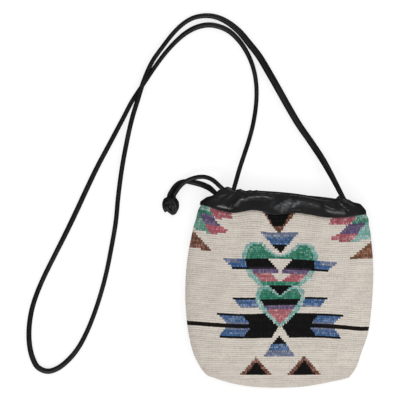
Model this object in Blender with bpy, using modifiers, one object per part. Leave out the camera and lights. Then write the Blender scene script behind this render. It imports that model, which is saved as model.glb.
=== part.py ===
"""Drawstring shoulder bag of crocheted cotton with a black leather casing, lying on its back.

Metres, +Z up. X runs across the bag, +Y runs from its base to its mouth, and the floor is at Z = 0.
The origin is the middle of the bag's own footprint, without its cords.
"""

import math
from dataclasses import dataclass

import bmesh
import bpy
import numpy as np
from mathutils import Vector

# Driving sizes
BODY_WIDTH = 0.2160
BODY_HEIGHT = 0.2001
BODY_DEPTH = 0.0340
BOTTOM_Y = -0.1147
CROCHET_WALL = 0.0020
TUCK_IN = 0.0048
CASING_HEIGHT = 0.0242
CASING_LAP = 0.0014
LEATHER = 0.0010
MOUTH_GAP = 0.0072
STRAP_DIAMETER = 0.0052
STRAP_TUCK = 0.0020
DRAWSTRING_DIAMETER = 0.0048
STOP_KNOT = (0.0086, 0.0062, 0.0046)
END_KNOT = (0.0200, 0.0150, 0.0118)
KNOT_TAIL = 0.0090
PUCKER_HEIGHT = 0.0012
CLEARANCE = 0.0003
HOLE_CLEARANCE = 0.0006

# How finely each shape is cut
COLUMNS = 64
FOLD_CROWDING = 0.6
STATIONS_BELOW = 17
SECTION_STEPS = 720
CORD_SIDES = 2
STRAP_POINTS = 80
TAIL_POINTS = 16
DRAWSTRING_POINTS = 60
MERGE = 0.00001
SLIVER = 0.00007


@dataclass(frozen=True)
class Round:
    """One round of the wall. X is a share of half the width, Y of the height, Z of the depth."""

    left: tuple[float, float]
    right: tuple[float, float]
    fold_z: float
    front: tuple[float, float]
    back: tuple[float, float]
    fold_radius: float


# The rounds from the mouth seam down to the base, as a coarse cage of the soft form.
ROUNDS = (
    Round((-0.820, 1.053), (0.918, 0.998), 0.346, (1.000, 0.639), (1.000, 0.072), 0.0088),
    Round((-0.921, 0.890), (0.980, 0.862), 0.325, (0.868, 0.830), (0.868, -0.010), 0.0070),
    Round((-0.976, 0.731), (1.004, 0.696), 0.285, (0.707, 0.950), (0.700, -0.200), 0.0055),
    Round((-0.997, 0.541), (0.994, 0.512), 0.275, (0.523, 1.000), (0.520, -0.250), 0.0050),
    Round((-0.980, 0.357), (0.955, 0.322), 0.270, (0.339, 0.970), (0.365, -0.250), 0.0050),
    Round((-0.925, 0.210), (0.880, 0.193), 0.260, (0.201, 0.860), (0.285, -0.220), 0.0048),
    Round((-0.850, 0.121), (0.836, 0.121), 0.245, (0.121, 0.730), (0.250, -0.150), 0.0045),
    Round((-0.785, 0.074), (0.784, 0.074), 0.225, (0.074, 0.620), (0.232, -0.080), 0.0042),
    Round((-0.735, 0.058), (0.728, 0.048), 0.180, (0.024, 0.470), (0.215, 0.000), 0.0036),
    Round((-0.690, 0.062), (0.680, 0.066), 0.125, (-0.006, 0.265), (0.200, 0.020), 0.0024),
    Round((-0.560, 0.090), (0.575, 0.088), 0.065, (0.011, 0.103), (0.180, 0.026), 0.0010),
    Round((-0.380, 0.108), (0.400, 0.106), 0.040, (0.050, 0.045), (0.160, 0.032), 0.0004),
)
BASE_CENTRE = (0.010, 0.120, 0.036)

# The leather's lower edge on the front, and the casing's top edge: X and rise above the seam's middle.
SEAM_LINE = (
    (-0.0885, 0.0109), (-0.0770, 0.0060), (-0.0644, 0.0029), (-0.0529, 0.0014), (-0.0414, 0.0029),
    (-0.0322, 0.0045), (-0.0189, 0.0029), (-0.0126, 0.0006), (0.0034, 0.0000), (0.0195, 0.0014),
    (0.0356, -0.0007), (0.0517, -0.0036), (0.0678, -0.0044), (0.0839, -0.0036), (0.1000, -0.0003),
)
TOP_LINE = (
    (-0.0800, -0.0040), (-0.0725, 0.0000), (-0.0655, 0.0044), (-0.0540, 0.0054), (-0.0414, 0.0030),
    (-0.0218, 0.0016), (0.0000, 0.0000), (0.0195, -0.0021), (0.0408, -0.0052), (0.0517, -0.0076),
    (0.0632, -0.0076), (0.0736, -0.0061), (0.0793, -0.0092), (0.0880, -0.0142),
)
SEAM_FADE = 0.022

# The casing's top round against the seam's: shifts of its folds and middles.
TOP_LEFT_SHIFT = (0.0130, 0.0125)
TOP_RIGHT_SHIFT = (-0.0105, 0.0125)
TOP_BACK_RISE = 0.0225
LEAN_POWER = 1.2

# Pucker ridges pressed into the front of the casing: start, end and width, in X and height share.
PUCKERS = (
    ((-0.070, 0.92), (-0.086, 0.45), 0.0026),
    ((-0.066, 0.88), (-0.076, 0.22), 0.0024),
    ((-0.062, 0.85), (-0.058, 0.16), 0.0028),
    ((-0.058, 0.16), (-0.042, 0.58), 0.0030),
    ((-0.042, 0.58), (-0.012, 0.70), 0.0026),
    ((0.073, 0.95), (0.092, 0.50), 0.0024),
    ((0.068, 0.92), (0.084, 0.40), 0.0028),
    ((0.052, 0.20), (0.080, 0.10), 0.0030),
)

# Where the cords pass the casing's top: the strap as X on the front, the drawstring as shares of the
# way round from the front middle by the left. Then how deep the drawstring runs, and its bend's share.
STRAP_LEFT_X = -0.0517
STRAP_RIGHT_X = 0.0736
DRAWSTRING_EXITS = (0.208, 0.266)
DRAWSTRING_LEVELS = (0.42, 0.92)
DRAWSTRING_BEND = 0.045

STRAP_Z = 0.0027
STRAP_ROUTE = (
    (-0.0455, 0.1372, 0.0150), (-0.0400, 0.1535, 0.0078), (-0.0348, 0.1705, 0.0036),
    (-0.0293, 0.1901, STRAP_Z), (-0.0261, 0.2142, STRAP_Z), (-0.0261, 0.2338, STRAP_Z),
    (-0.0293, 0.2510, STRAP_Z), (-0.0356, 0.2671, STRAP_Z), (-0.0455, 0.2832, STRAP_Z),
    (-0.0580, 0.2955, STRAP_Z), (-0.0705, 0.3013, STRAP_Z), (-0.0815, 0.3020, STRAP_Z),
    (-0.0943, 0.2993, STRAP_Z), (-0.1069, 0.2930, STRAP_Z), (-0.1196, 0.2821, STRAP_Z),
    (-0.1326, 0.2675, STRAP_Z), (-0.1438, 0.2525, STRAP_Z), (-0.1552, 0.2355, STRAP_Z),
    (-0.1688, 0.2150, STRAP_Z), (-0.1805, 0.1940, STRAP_Z), (-0.1955, 0.1659, STRAP_Z),
    (-0.2099, 0.1383, STRAP_Z), (-0.2242, 0.1089, STRAP_Z), (-0.2346, 0.0880, STRAP_Z),
    (-0.2466, 0.0636, STRAP_Z), (-0.2599, 0.0360, STRAP_Z), (-0.2714, 0.0118, STRAP_Z),
    (-0.2803, -0.0089, STRAP_Z), (-0.2852, -0.0273, STRAP_Z), (-0.2874, -0.0468, STRAP_Z),
    (-0.2868, -0.0641, STRAP_Z), (-0.2832, -0.0795, STRAP_Z), (-0.2766, -0.0908, STRAP_Z),
    (-0.2665, -0.0958, STRAP_Z), (-0.2550, -0.0930, STRAP_Z), (-0.2428, -0.0835, STRAP_Z),
    (-0.2322, -0.0698, STRAP_Z), (-0.2219, -0.0509, STRAP_Z), (-0.2127, -0.0300, STRAP_Z),
    (-0.2044, -0.0043, STRAP_Z), (-0.1981, 0.0181, STRAP_Z), (-0.1928, 0.0463, STRAP_Z),
    (-0.1880, 0.0751, STRAP_Z), (-0.1842, 0.1050, 0.0029), (-0.1800, 0.1372, 0.0041),
    (-0.1748, 0.1680, 0.0062), (-0.1690, 0.1940, 0.0080), (-0.1626, 0.2160, 0.0087),
    (-0.1558, 0.2372, 0.0086), (-0.1472, 0.2600, 0.0077), (-0.1360, 0.2790, 0.0058),
    (-0.1230, 0.2947, 0.0040), (-0.1108, 0.3055, 0.0029), (-0.0985, 0.3112, STRAP_Z),
    (-0.0839, 0.3128, STRAP_Z), (-0.0713, 0.3106, STRAP_Z), (-0.0583, 0.3042, STRAP_Z),
    (-0.0455, 0.2940, STRAP_Z), (-0.0340, 0.2815, STRAP_Z), (-0.0230, 0.2666, STRAP_Z),
    (-0.0115, 0.2484, STRAP_Z), (-0.0003, 0.2292, STRAP_Z), (0.0112, 0.2092, STRAP_Z),
    (0.0240, 0.1872, STRAP_Z), (0.0368, 0.1663, 0.0030), (0.0495, 0.1465, 0.0068),
    (0.0603, 0.1275, 0.0135),
)
UPPER_TAIL_ROUTE = (
    (-0.0697, 0.1163, 0.0196), (-0.0734, 0.1197, 0.0182), (-0.0789, 0.1237, 0.0160),
    (-0.0857, 0.1263, 0.0136), (-0.0929, 0.1265, 0.0116), (-0.0998, 0.1250, 0.0098),
    (-0.1058, 0.1226, 0.0086), (-0.1106, 0.1193, 0.0080), (-0.1145, 0.1151, 0.0075),
    (-0.1176, 0.1107, 0.0070),
)
LOWER_TAIL_ROUTE = (
    (-0.0805, 0.1127, 0.0076), (-0.0844, 0.1151, 0.0058), (-0.0890, 0.1173, 0.0042),
    (-0.0952, 0.1194, 0.0031), (-0.1019, 0.1211, 0.0026), (-0.1083, 0.1219, 0.0026),
    (-0.1143, 0.1205, 0.0027), (-0.1194, 0.1166, 0.0033), (-0.1230, 0.1117, 0.0044),
)
KNOT_PLACE = (-0.1246, 0.0955, 0.0064)
KNOT_STRANDS = ((-0.1208, 0.0062), (-0.1266, 0.0062))
# The knot's wraps as rise and turn, and its cut ends as X from its middle and turn.
KNOT_WRAPS = ((0.0022, 0.30), (-0.0028, -0.42))
KNOT_ENDS = ((-0.0050, -0.30), (0.0040, 0.12))


def smooth_values(knots: np.ndarray, values: np.ndarray, at: np.ndarray) -> np.ndarray:
    """Catmull-Rom reading of values that stand at rising knots."""
    knots = np.asarray(knots, float)
    values = np.asarray(values, float)
    slopes = np.gradient(values, knots, axis=0)
    at = np.clip(np.asarray(at, float), knots[0], knots[-1])
    i = np.clip(np.searchsorted(knots, at, side="right") - 1, 0, len(knots) - 2)
    span = knots[i + 1] - knots[i]
    t = (at - knots[i]) / span
    if values.ndim > 1:
        t, span = t[..., None], span[..., None]
    h00 = 2 * t**3 - 3 * t**2 + 1
    h10 = t**3 - 2 * t**2 + t
    h01 = -2 * t**3 + 3 * t**2
    h11 = t**3 - t**2
    return h00 * values[i] + h10 * span * slopes[i] + h01 * values[i + 1] + h11 * span * slopes[i + 1]


def line_rise(line: tuple, x: np.ndarray) -> np.ndarray:
    """Rise of a hand-drawn edge line at X."""
    points = np.array(line)
    return smooth_values(points[:, 0], points[:, 1], x)


def across(share: np.ndarray) -> np.ndarray:
    """How far a round has left its side folds for its middle, from 0 at a fold to 1 in the middle."""
    return np.clip(1.0 - np.abs(share) ** 2.5, 0.0, 1.0) ** 0.8


def crowded(step: np.ndarray) -> np.ndarray:
    """Shares of the way round for even steps, closer together at the side folds."""
    return step + FOLD_CROWDING * np.sin(4 * math.pi * step) / (4 * math.pi)


@dataclass(frozen=True)
class Section:
    """A closed round in real sizes, described by its two side folds and its two middles."""

    left: tuple[float, float]
    right: tuple[float, float]
    fold_z: float
    front: tuple[float, float]
    back: tuple[float, float]
    fold_radius: float

    @property
    def middle_x(self) -> float:
        """X halfway between the side folds."""
        return (self.left[0] + self.right[0]) / 2

    @property
    def half_width(self) -> float:
        """Half the distance between the side folds."""
        return (self.right[0] - self.left[0]) / 2

    def dense(self) -> np.ndarray:
        """Angle, X, Z and length along the round at many angles, from the front middle round by the left."""
        angle = np.linspace(math.pi / 2, math.pi / 2 + 2 * math.pi, SECTION_STEPS + 1)
        radius = self.fold_radius
        flat = 1e-5
        half = self.half_width - radius
        rise = max(self.front[1] - self.fold_z - radius, flat)
        drop = max(self.fold_z - self.back[1] - radius, flat)
        high = np.where(np.sin(angle) >= 0, rise, drop)
        reach = np.sqrt((half * np.cos(angle)) ** 2 + (high * np.sin(angle)) ** 2)
        x = self.middle_x + half**2 * np.cos(angle) / reach + radius * np.cos(angle)
        z = self.fold_z + high**2 * np.sin(angle) / reach + radius * np.sin(angle)
        length = np.concatenate([[0.0], np.cumsum(np.hypot(np.diff(x), np.diff(z)))])
        return np.stack([angle, x, z, length], axis=1)

    def read(self, share: np.ndarray) -> np.ndarray:
        """Angle, X and Z at shares of the way round."""
        dense = self.dense()
        at = np.mod(np.asarray(share, float), 1.0) * dense[-1, 3]
        return np.stack([np.interp(at, dense[:, 3], dense[:, k]) for k in range(3)], axis=1)

    def plain_y(self, x: np.ndarray, on_front: np.ndarray) -> np.ndarray:
        """Y of the round without the seam's waves."""
        share = np.clip((x - self.middle_x) / self.half_width, -1.0, 1.0)
        ends = self.left[1] + (self.right[1] - self.left[1]) * (share + 1) / 2
        mean = (self.left[1] + self.right[1]) / 2
        middle = np.where(on_front, self.front[0], self.back[0])
        return ends + (middle - mean) * across(share)

    def inset(self, by: float) -> "Section":
        """The parallel round that lies a distance inside this one."""
        return Section(
            (self.left[0] + by, self.left[1]),
            (self.right[0] - by, self.right[1]),
            self.fold_z,
            (self.front[0], self.front[1] - by),
            (self.back[0], self.back[1] + by),
            self.fold_radius - by,
        )


def wall_section(station: float) -> Section:
    """The wall's round at a station counted down from the mouth seam."""
    rows = []
    for item in ROUNDS:
        rows.append([*item.left, *item.right, item.fold_z, *item.front, *item.back, item.fold_radius])
    value = smooth_values(np.arange(len(ROUNDS)), np.array(rows), np.array(station))
    half = BODY_WIDTH / 2

    def height(share: float) -> float:
        return BOTTOM_Y + share * BODY_HEIGHT

    return Section(
        (value[0] * half, height(value[1])),
        (value[2] * half, height(value[3])),
        value[4] * BODY_DEPTH,
        (height(value[5]), value[6] * BODY_DEPTH),
        (height(value[7]), value[8] * BODY_DEPTH),
        value[9],
    )


SEAM = wall_section(0.0)
SEAM_Y = SEAM.front[0]


def edge_y(line: tuple, base: float, section: Section, x: np.ndarray, on_front: np.ndarray) -> np.ndarray:
    """Y of an edge of the casing: hand-drawn on the front, plain at the folds and on the back."""
    plain = section.plain_y(x, on_front)
    fold = np.clip(np.abs((x - section.middle_x) / section.half_width), 0.0, 1.0) ** 8
    drawn = (base + line_rise(line, x)) * (1 - fold) + plain * fold
    return np.where(on_front, drawn, plain)


def wall_round(station: float, share: np.ndarray) -> np.ndarray:
    """Points of the wall's outer face on one round."""
    section = wall_section(station)
    angle, x, z = section.read(share).T
    on_front = np.sin(angle) >= 0
    y = section.plain_y(x, on_front)
    below = max(SEAM_Y - section.front[0], 0.0)
    fade = math.exp(-((below / SEAM_FADE) ** 2))
    wave = edge_y(SEAM_LINE, SEAM_Y, SEAM, x, on_front) - SEAM.plain_y(x, on_front)
    y = y + wave * fade
    return np.stack([x, y, np.maximum(z, 0.0)], axis=1)


def channel_half() -> float:
    """Half the clear width of the channel that the drawstring runs in."""
    return DRAWSTRING_DIAMETER / 2 + CLEARANCE


def casing_section(level: float) -> Section:
    """The casing's middle round, between its outer and its inner leg, at a share of its height."""
    if level < 0:
        first_drop = SEAM_Y - wall_section(1.0).front[0]
        return wall_section(-level * CASING_HEIGHT / first_drop).inset(CROCHET_WALL / 2)
    base = SEAM.inset(CROCHET_WALL / 2)
    radius_top = MOUTH_GAP / 2 + LEATHER + channel_half()
    radius = base.fold_radius + (radius_top - base.fold_radius) * level
    crown = (base.front[1] - base.fold_z - base.fold_radius) * (1 - level / 2)
    sag = (base.fold_z - base.back[1] - base.fold_radius) * (1 - level / 2)
    lean = level**LEAN_POWER
    return Section(
        (base.left[0] + TOP_LEFT_SHIFT[0] * lean, base.left[1] + TOP_LEFT_SHIFT[1] * level),
        (base.right[0] + TOP_RIGHT_SHIFT[0] * lean, base.right[1] + TOP_RIGHT_SHIFT[1] * level),
        base.fold_z,
        (SEAM_Y + CASING_HEIGHT * level, base.fold_z + radius + crown),
        (base.back[0] + TOP_BACK_RISE * level, base.fold_z - radius - sag),
        radius,
    )


def casing_sheet(level: float, share: np.ndarray) -> np.ndarray:
    """Points of one round of the casing's middle sheet, which runs between its two legs."""
    section = casing_section(level)
    top = casing_section(1.0)
    angle, x, z = section.read(share).T
    on_front = np.sin(angle) >= 0
    side = (x - section.middle_x) / section.half_width
    low = edge_y(SEAM_LINE, SEAM_Y, SEAM, SEAM.middle_x + side * SEAM.half_width, on_front)
    high = edge_y(TOP_LINE, SEAM_Y + CASING_HEIGHT, top, top.middle_x + side * top.half_width, on_front)
    return np.stack([x, low + (high - low) * level, z], axis=1)


def casing_round(level: float, offset: float, share: np.ndarray, puckered: bool = False) -> np.ndarray:
    """Points of a round that lies a distance outside the casing's middle sheet."""
    step = 0.001
    middle = casing_sheet(level, share)
    angle = casing_section(level).read(share)[:, 0]
    upward = casing_sheet(level + step, share) - casing_sheet(level - step, share)
    lean = (upward[:, 0] * np.cos(angle) + upward[:, 2] * np.sin(angle)) / upward[:, 1]
    push = offset * np.sqrt(1 + lean**2)
    if puckered:
        push += pucker(middle[:, 0], level) * (np.sin(angle) > 0)
    return middle + np.stack([push * np.cos(angle), 0 * push, push * np.sin(angle)], axis=1)


def pucker(x: np.ndarray, level: float) -> np.ndarray:
    """Height of the pucker ridges on the front of the casing."""
    height = np.zeros_like(x)
    for start, end, width in PUCKERS:
        a = np.array([start[0], start[1] * CASING_HEIGHT])
        b = np.array([end[0], end[1] * CASING_HEIGHT])
        run = b - a
        px = x - a[0]
        py = level * CASING_HEIGHT - a[1]
        t = np.clip((px * run[0] + py * run[1]) / run.dot(run), 0.0, 1.0)
        away = np.hypot(px - t * run[0], py - t * run[1])
        height = np.maximum(height, PUCKER_HEIGHT * np.exp(-((away / width) ** 2)))
    return height


def casing_middle(x: float, level: float) -> Vector:
    """The middle of the front casing's channel at X."""
    share = np.linspace(-0.26, 0.26, 521) % 1.0
    points = casing_round(level, 0.0, share)
    near = points[np.argmin(np.abs(points[:, 0] - x))]
    return Vector((x, near[1], near[2]))


def new_collection(name: str) -> bpy.types.Collection:
    """A collection in the scene."""
    made = bpy.data.collections.new(name)
    bpy.context.scene.collection.children.link(made)
    return made


def finish(name: str, colour: tuple, roughness: float) -> bpy.types.Material:
    """A plain Principled material."""
    material = bpy.data.materials.new(name)
    material.use_nodes = True
    shader = material.node_tree.nodes["Principled BSDF"]
    shader.inputs["Base Color"].default_value = (*colour, 1.0)
    shader.inputs["Roughness"].default_value = roughness
    shader.inputs["Metallic"].default_value = 0.0
    return material


def add_mesh(name: str, mesh: bpy.types.Mesh, material: bpy.types.Material, home) -> bpy.types.Object:
    """A smooth shaded object in a collection."""
    mesh.materials.append(material)
    mesh.shade_smooth()
    thing = bpy.data.objects.new(name, mesh)
    home.objects.link(thing)
    return thing


def loft(name: str, rounds: list, pole: tuple | None) -> bpy.types.Mesh:
    """A sleeve through closed rounds of equal count, ended in a pole or, without one, joined to its start."""
    work = bmesh.new()
    rows = [[work.verts.new(point) for point in points] for points in rounds]
    count = len(rows[0])
    if pole is None:
        rows.append(rows[0])
    for upper, lower in zip(rows, rows[1:]):
        for k in range(count):
            n = (k + 1) % count
            work.faces.new((upper[k], upper[n], lower[n], lower[k]))
    if pole is not None:
        tip = work.verts.new(pole)
        last = rows[-1]
        for k in range(count):
            work.faces.new((last[k], last[(k + 1) % count], tip))
    bmesh.ops.recalc_face_normals(work, faces=work.faces)
    mesh = bpy.data.meshes.new(name)
    work.to_mesh(mesh)
    work.free()
    return mesh


def add_wall(thing: bpy.types.Object, thickness: float, offset: float) -> None:
    """A Solidify modifier that gives an open sleeve its wall."""
    wall = thing.modifiers.new("wall", "SOLIDIFY")
    wall.thickness = thickness
    wall.offset = offset
    wall.use_even_offset = True
    wall.use_rim = True


def crochet_body(home, material) -> bpy.types.Object:
    """The crocheted bucket, worked in one piece from the middle of its base to the mouth."""
    share = crowded(np.arange(COLUMNS) / COLUMNS)
    below = np.linspace(0.0, len(ROUNDS) - 1, STATIONS_BELOW)
    tucked = casing_round(TUCK_IN / CASING_HEIGHT, CROCHET_WALL / 2, share)
    rounds = [tucked, *(wall_round(station, share) for station in below)]
    pole = (
        BASE_CENTRE[0] * BODY_WIDTH / 2,
        BOTTOM_Y + BASE_CENTRE[1] * BODY_HEIGHT,
        BASE_CENTRE[2] * BODY_DEPTH,
    )
    body = add_mesh("crochet_body", loft("crochet_body", rounds, pole), material, home)
    add_wall(body, CROCHET_WALL, -1.0)
    return body


def casing_profile(depth: float) -> list[tuple[float, float]]:
    """Height share and offset over the fold, from outside to inside, at a depth off the leather's middle."""
    lap = -CASING_LAP / CASING_HEIGHT
    low = CROCHET_WALL / 2 + CLEARANCE + LEATHER / 2
    wide = channel_half() + LEATHER / 2
    fold = wide / CASING_HEIGHT
    top = 1.0 - LEATHER / 2 / CASING_HEIGHT
    rise = depth / CASING_HEIGHT
    outer = [(lap, low + depth), (0.14, low + (wide - low) * 0.75 + depth)]
    outer += [(0.34, wide + depth), (0.60, wide + depth), (top - fold, wide + depth)]
    outer += [(top - fold * 0.29 + rise * 0.71, (wide + depth) * 0.71)]
    inner = [(level, -offset) for level, offset in reversed(outer)]
    return [*outer, (top + rise, 0.0), *inner]


def leather_casing(home, cutters, material) -> bpy.types.Object:
    """The leather strip folded over the mouth, with holes where the cords pass."""
    share = crowded(np.arange(COLUMNS) / COLUMNS)
    profile = [*casing_profile(LEATHER / 2), *reversed(casing_profile(-LEATHER / 2))]
    rounds = [casing_round(level, offset, share, offset > 0) for level, offset in profile]
    casing = add_mesh("leather_casing", loft("leather_casing", rounds, None), material, home)
    holes = [(strap_hole(x), STRAP_DIAMETER) for x in (STRAP_LEFT_X, STRAP_RIGHT_X)]
    holes += [(tail_hole(index), DRAWSTRING_DIAMETER) for index in range(2)]
    for number, ((place, heading), diameter) in enumerate(holes):
        cut_hole(casing, cutters, number, place, heading, diameter / 2 + HOLE_CLEARANCE)
    weld_slivers(casing)
    return casing


def weld_slivers(thing: bpy.types.Object) -> None:
    """Joins points that a Boolean leaves next to each other."""
    weld = thing.modifiers.new("weld", "WELD")
    weld.merge_threshold = SLIVER


def cut_hole(casing, cutters, number: int, place: Vector, heading: Vector, radius: float) -> None:
    """A round hole through the casing's top fold."""
    depth = 2 * channel_half() + 3 * LEATHER
    work = bmesh.new()
    bmesh.ops.create_cone(
        work, cap_ends=True, segments=16, radius1=radius, radius2=radius, depth=depth
    )
    mesh = bpy.data.meshes.new(f"cord_hole_{number}")
    work.to_mesh(mesh)
    work.free()
    cutter = bpy.data.objects.new(f"cord_hole_{number}", mesh)
    cutter.location = place
    cutter.rotation_euler = heading.to_track_quat("Z", "Y").to_euler()
    cutter.hide_render = True
    cutter.display_type = "WIRE"
    cutters.objects.link(cutter)
    hole = casing.modifiers.new(f"cord_hole_{number}", "BOOLEAN")
    hole.operation = "DIFFERENCE"
    hole.object = cutter


def strap_hole(x: float) -> tuple[Vector, Vector]:
    """Where the strap passes the top fold, and the way it leaves."""
    place = casing_middle(x, 1.0)
    toward = STRAP_ROUTE[0] if x < 0 else STRAP_ROUTE[-1]
    return place, (Vector(toward) - place).normalized()


def tail_hole(index: int) -> tuple[Vector, Vector]:
    """Where a drawstring tail passes the top fold, and the way it leaves."""
    top = 1.0 - LEATHER / CASING_HEIGHT
    place = Vector(casing_round(top, 0.0, np.array([DRAWSTRING_EXITS[index]]))[0])
    toward = (UPPER_TAIL_ROUTE, LOWER_TAIL_ROUTE)[index][0]
    return place, (Vector(toward) - place).normalized()


def smooth_route(points: list, count: int) -> list[Vector]:
    """Evenly spaced points of a smooth curve through the route's own points."""
    route = np.array([tuple(point) for point in points])
    knots = np.concatenate([[0.0], np.cumsum(np.linalg.norm(np.diff(route, axis=0), axis=1) ** 0.5)])
    fine = smooth_values(knots, route, np.linspace(0.0, knots[-1], 40 * len(points)))
    length = np.concatenate([[0.0], np.cumsum(np.linalg.norm(np.diff(fine, axis=0), axis=1))])
    at = np.linspace(0.0, length[-1], count)
    return [Vector(np.interp(step, length, fine[:, k]) for k in range(3)) for step in at]


def cord(name: str, route: list, diameter: float, material, home) -> bpy.types.Object:
    """A round cord as a bevelled curve with filled caps."""
    curve = bpy.data.curves.new(name, "CURVE")
    curve.dimensions = "3D"
    curve.bevel_depth = diameter / 2
    curve.bevel_resolution = CORD_SIDES
    curve.use_fill_caps = True
    curve.materials.append(material)
    spline = curve.splines.new("POLY")
    spline.points.add(len(route) - 1)
    for point, place in zip(spline.points, route):
        point.co = (*place, 1.0)
    spline.use_smooth = True
    thing = bpy.data.objects.new(name, curve)
    home.objects.link(thing)
    return thing


def shoulder_strap(home, material) -> bpy.types.Object:
    """The one long round cord, from the left hole through its loop on the floor to the right hole."""
    inside = LEATHER + STRAP_TUCK
    ends = []
    for x in (STRAP_LEFT_X, STRAP_RIGHT_X):
        place, heading = strap_hole(x)
        ends.append([place - heading * inside, place + heading * STRAP_DIAMETER * 1.2])
    points = [*ends[0], *STRAP_ROUTE, *reversed(ends[1])]
    return cord("shoulder_strap", smooth_route(points, STRAP_POINTS), STRAP_DIAMETER, material, home)


def stop_knots(home, material) -> None:
    """The flattened knots that hold the strap's ends inside the casing."""
    for side, x in (("left", STRAP_LEFT_X), ("right", STRAP_RIGHT_X)):
        place, heading = strap_hole(x)
        reach = STOP_KNOT[0] / 2
        edge = (casing_middle(x + reach, 1.0) - casing_middle(x - reach, 1.0)).normalized()
        along = heading.dot(edge)
        deep = math.hypot(reach * along, STOP_KNOT[1] / 2 * math.sqrt(1 - along**2))
        back = LEATHER + STRAP_TUCK + CLEARANCE + deep
        work = bmesh.new()
        bmesh.ops.create_uvsphere(work, u_segments=16, v_segments=10, radius=0.5)
        bmesh.ops.scale(work, vec=STOP_KNOT, verts=work.verts)
        mesh = bpy.data.meshes.new(f"strap_stop_knot_{side}")
        work.to_mesh(mesh)
        work.free()
        knot = add_mesh(f"strap_stop_knot_{side}", mesh, material, home)
        centre = place - heading * back
        channel = casing_middle(centre.x, 1.0 - back / CASING_HEIGHT)
        knot.location = (centre.x, centre.y, channel.z)
        knot.rotation_euler = (0.0, 0.0, math.atan2(edge.y, edge.x))


def drawstring_run() -> list[Vector]:
    """Points of the drawstring's run inside the casing, which rises to the top fold near its two exits."""
    near = 0.25 * DRAWSTRING_BEND
    step = np.linspace(-1.0, 1.0, SECTION_STEPS)
    ends = (DRAWSTRING_EXITS[0] - near, DRAWSTRING_EXITS[1] + near - 1.0)
    first, last = np.interp(ends, crowded(step), step)
    low, high = DRAWSTRING_LEVELS
    points = []
    for share in crowded(np.linspace(first, last, DRAWSTRING_POINTS)):
        away = min(DRAWSTRING_EXITS[0] - share, share - DRAWSTRING_EXITS[1] + 1.0)
        rise = max(1.0 - away / DRAWSTRING_BEND, 0.0)
        level = low + (high - low) * rise**1.5
        points.append(Vector(casing_sheet(level, np.array([share]))[0]))
    return points


def drawstring(home, material) -> None:
    """The drawstring's run inside the casing and its two tails outside."""
    exits = [tail_hole(index) for index in range(2)]
    lead = DRAWSTRING_DIAMETER / 2
    starts = [[place - heading * CLEARANCE, place - heading * lead] for place, heading in exits]
    route = [*starts[0], *drawstring_run(), *reversed(starts[1])]
    cord("drawstring", route, DRAWSTRING_DIAMETER, material, home)
    for index, (side, points) in enumerate((("upper", UPPER_TAIL_ROUTE), ("lower", LOWER_TAIL_ROUTE))):
        place, heading = exits[index]
        x, z = KNOT_STRANDS[index]
        end = Vector((x, KNOT_PLACE[1] + END_KNOT[1] / 2 + CLEARANCE, z))
        above = end + Vector((0.0, lead, 0.0))
        outside = smooth_route([place + heading * lead, *points, above], TAIL_POINTS)
        cord(f"drawstring_tail_{side}", [place, *outside, end], DRAWSTRING_DIAMETER, material, home)


def knot_piece(name: str, work: bmesh.types.BMesh, place: Vector, turn: tuple, cutters) -> bpy.types.Object:
    """A shape that is joined to the end knot and is left out by itself."""
    mesh = bpy.data.meshes.new(name)
    work.to_mesh(mesh)
    work.free()
    mesh.shade_smooth()
    thing = bpy.data.objects.new(name, mesh)
    thing.location = place
    thing.rotation_euler = turn
    thing.hide_render = True
    thing.display_type = "WIRE"
    cutters.objects.link(thing)
    return thing


def ring_of_cord(reach: tuple[float, float], radius: float) -> bmesh.types.BMesh:
    """One wrap of cord around the Y axis, as wide and as high as its reach."""
    work = bmesh.new()
    made = bmesh.ops.create_circle(work, segments=10, radius=radius)
    bmesh.ops.translate(work, vec=(reach[0] - radius, 0.0, 0.0), verts=made["verts"])
    bmesh.ops.spin(
        work, geom=work.verts[:] + work.edges[:], axis=(0, 1, 0), cent=(0, 0, 0),
        angle=2 * math.pi, steps=20, use_merge=True,
    )
    bmesh.ops.remove_doubles(work, verts=work.verts, dist=MERGE)
    bmesh.ops.scale(work, vec=(1.0, 1.0, reach[1] / reach[0]), verts=work.verts)
    bmesh.ops.recalc_face_normals(work, faces=work.faces)
    return work


def end_knot(home, cutters, material) -> bpy.types.Object:
    """The overhand knot that ties the two tails, with their short cut ends."""
    centre = Vector(KNOT_PLACE)
    radius = DRAWSTRING_DIAMETER / 2
    wide, tall, thick = END_KNOT
    work = bmesh.new()
    bmesh.ops.create_uvsphere(work, u_segments=20, v_segments=12, radius=0.5)
    bmesh.ops.scale(work, vec=(wide * 0.8, tall, thick * 0.9), verts=work.verts)
    mesh = bpy.data.meshes.new("drawstring_knot")
    work.to_mesh(mesh)
    work.free()
    knot = add_mesh("drawstring_knot", mesh, material, home)
    knot.location = centre
    pieces = []
    for number, (rise, turn) in enumerate(KNOT_WRAPS):
        ring = ring_of_cord((wide / 2, thick / 2), radius)
        place = centre + Vector((0.0, rise, 0.0))
        pieces.append(knot_piece(f"knot_wrap_{number}", ring, place, (0.0, 0.0, turn), cutters))
    for number, (x, turn) in enumerate(KNOT_ENDS):
        work = bmesh.new()
        bmesh.ops.create_cone(
            work, cap_ends=True, segments=12, radius1=radius, radius2=radius, depth=KNOT_TAIL
        )
        place = centre + Vector((x, -tall / 2 - KNOT_TAIL * 0.1, radius - centre.z + CLEARANCE))
        turned = (math.pi / 2, 0.0, turn)
        pieces.append(knot_piece(f"knot_end_{number}", work, place, turned, cutters))
    for piece in pieces:
        union = knot.modifiers.new(piece.name, "BOOLEAN")
        union.operation = "UNION"
        union.object = piece
    weld_slivers(knot)
    return knot


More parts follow.
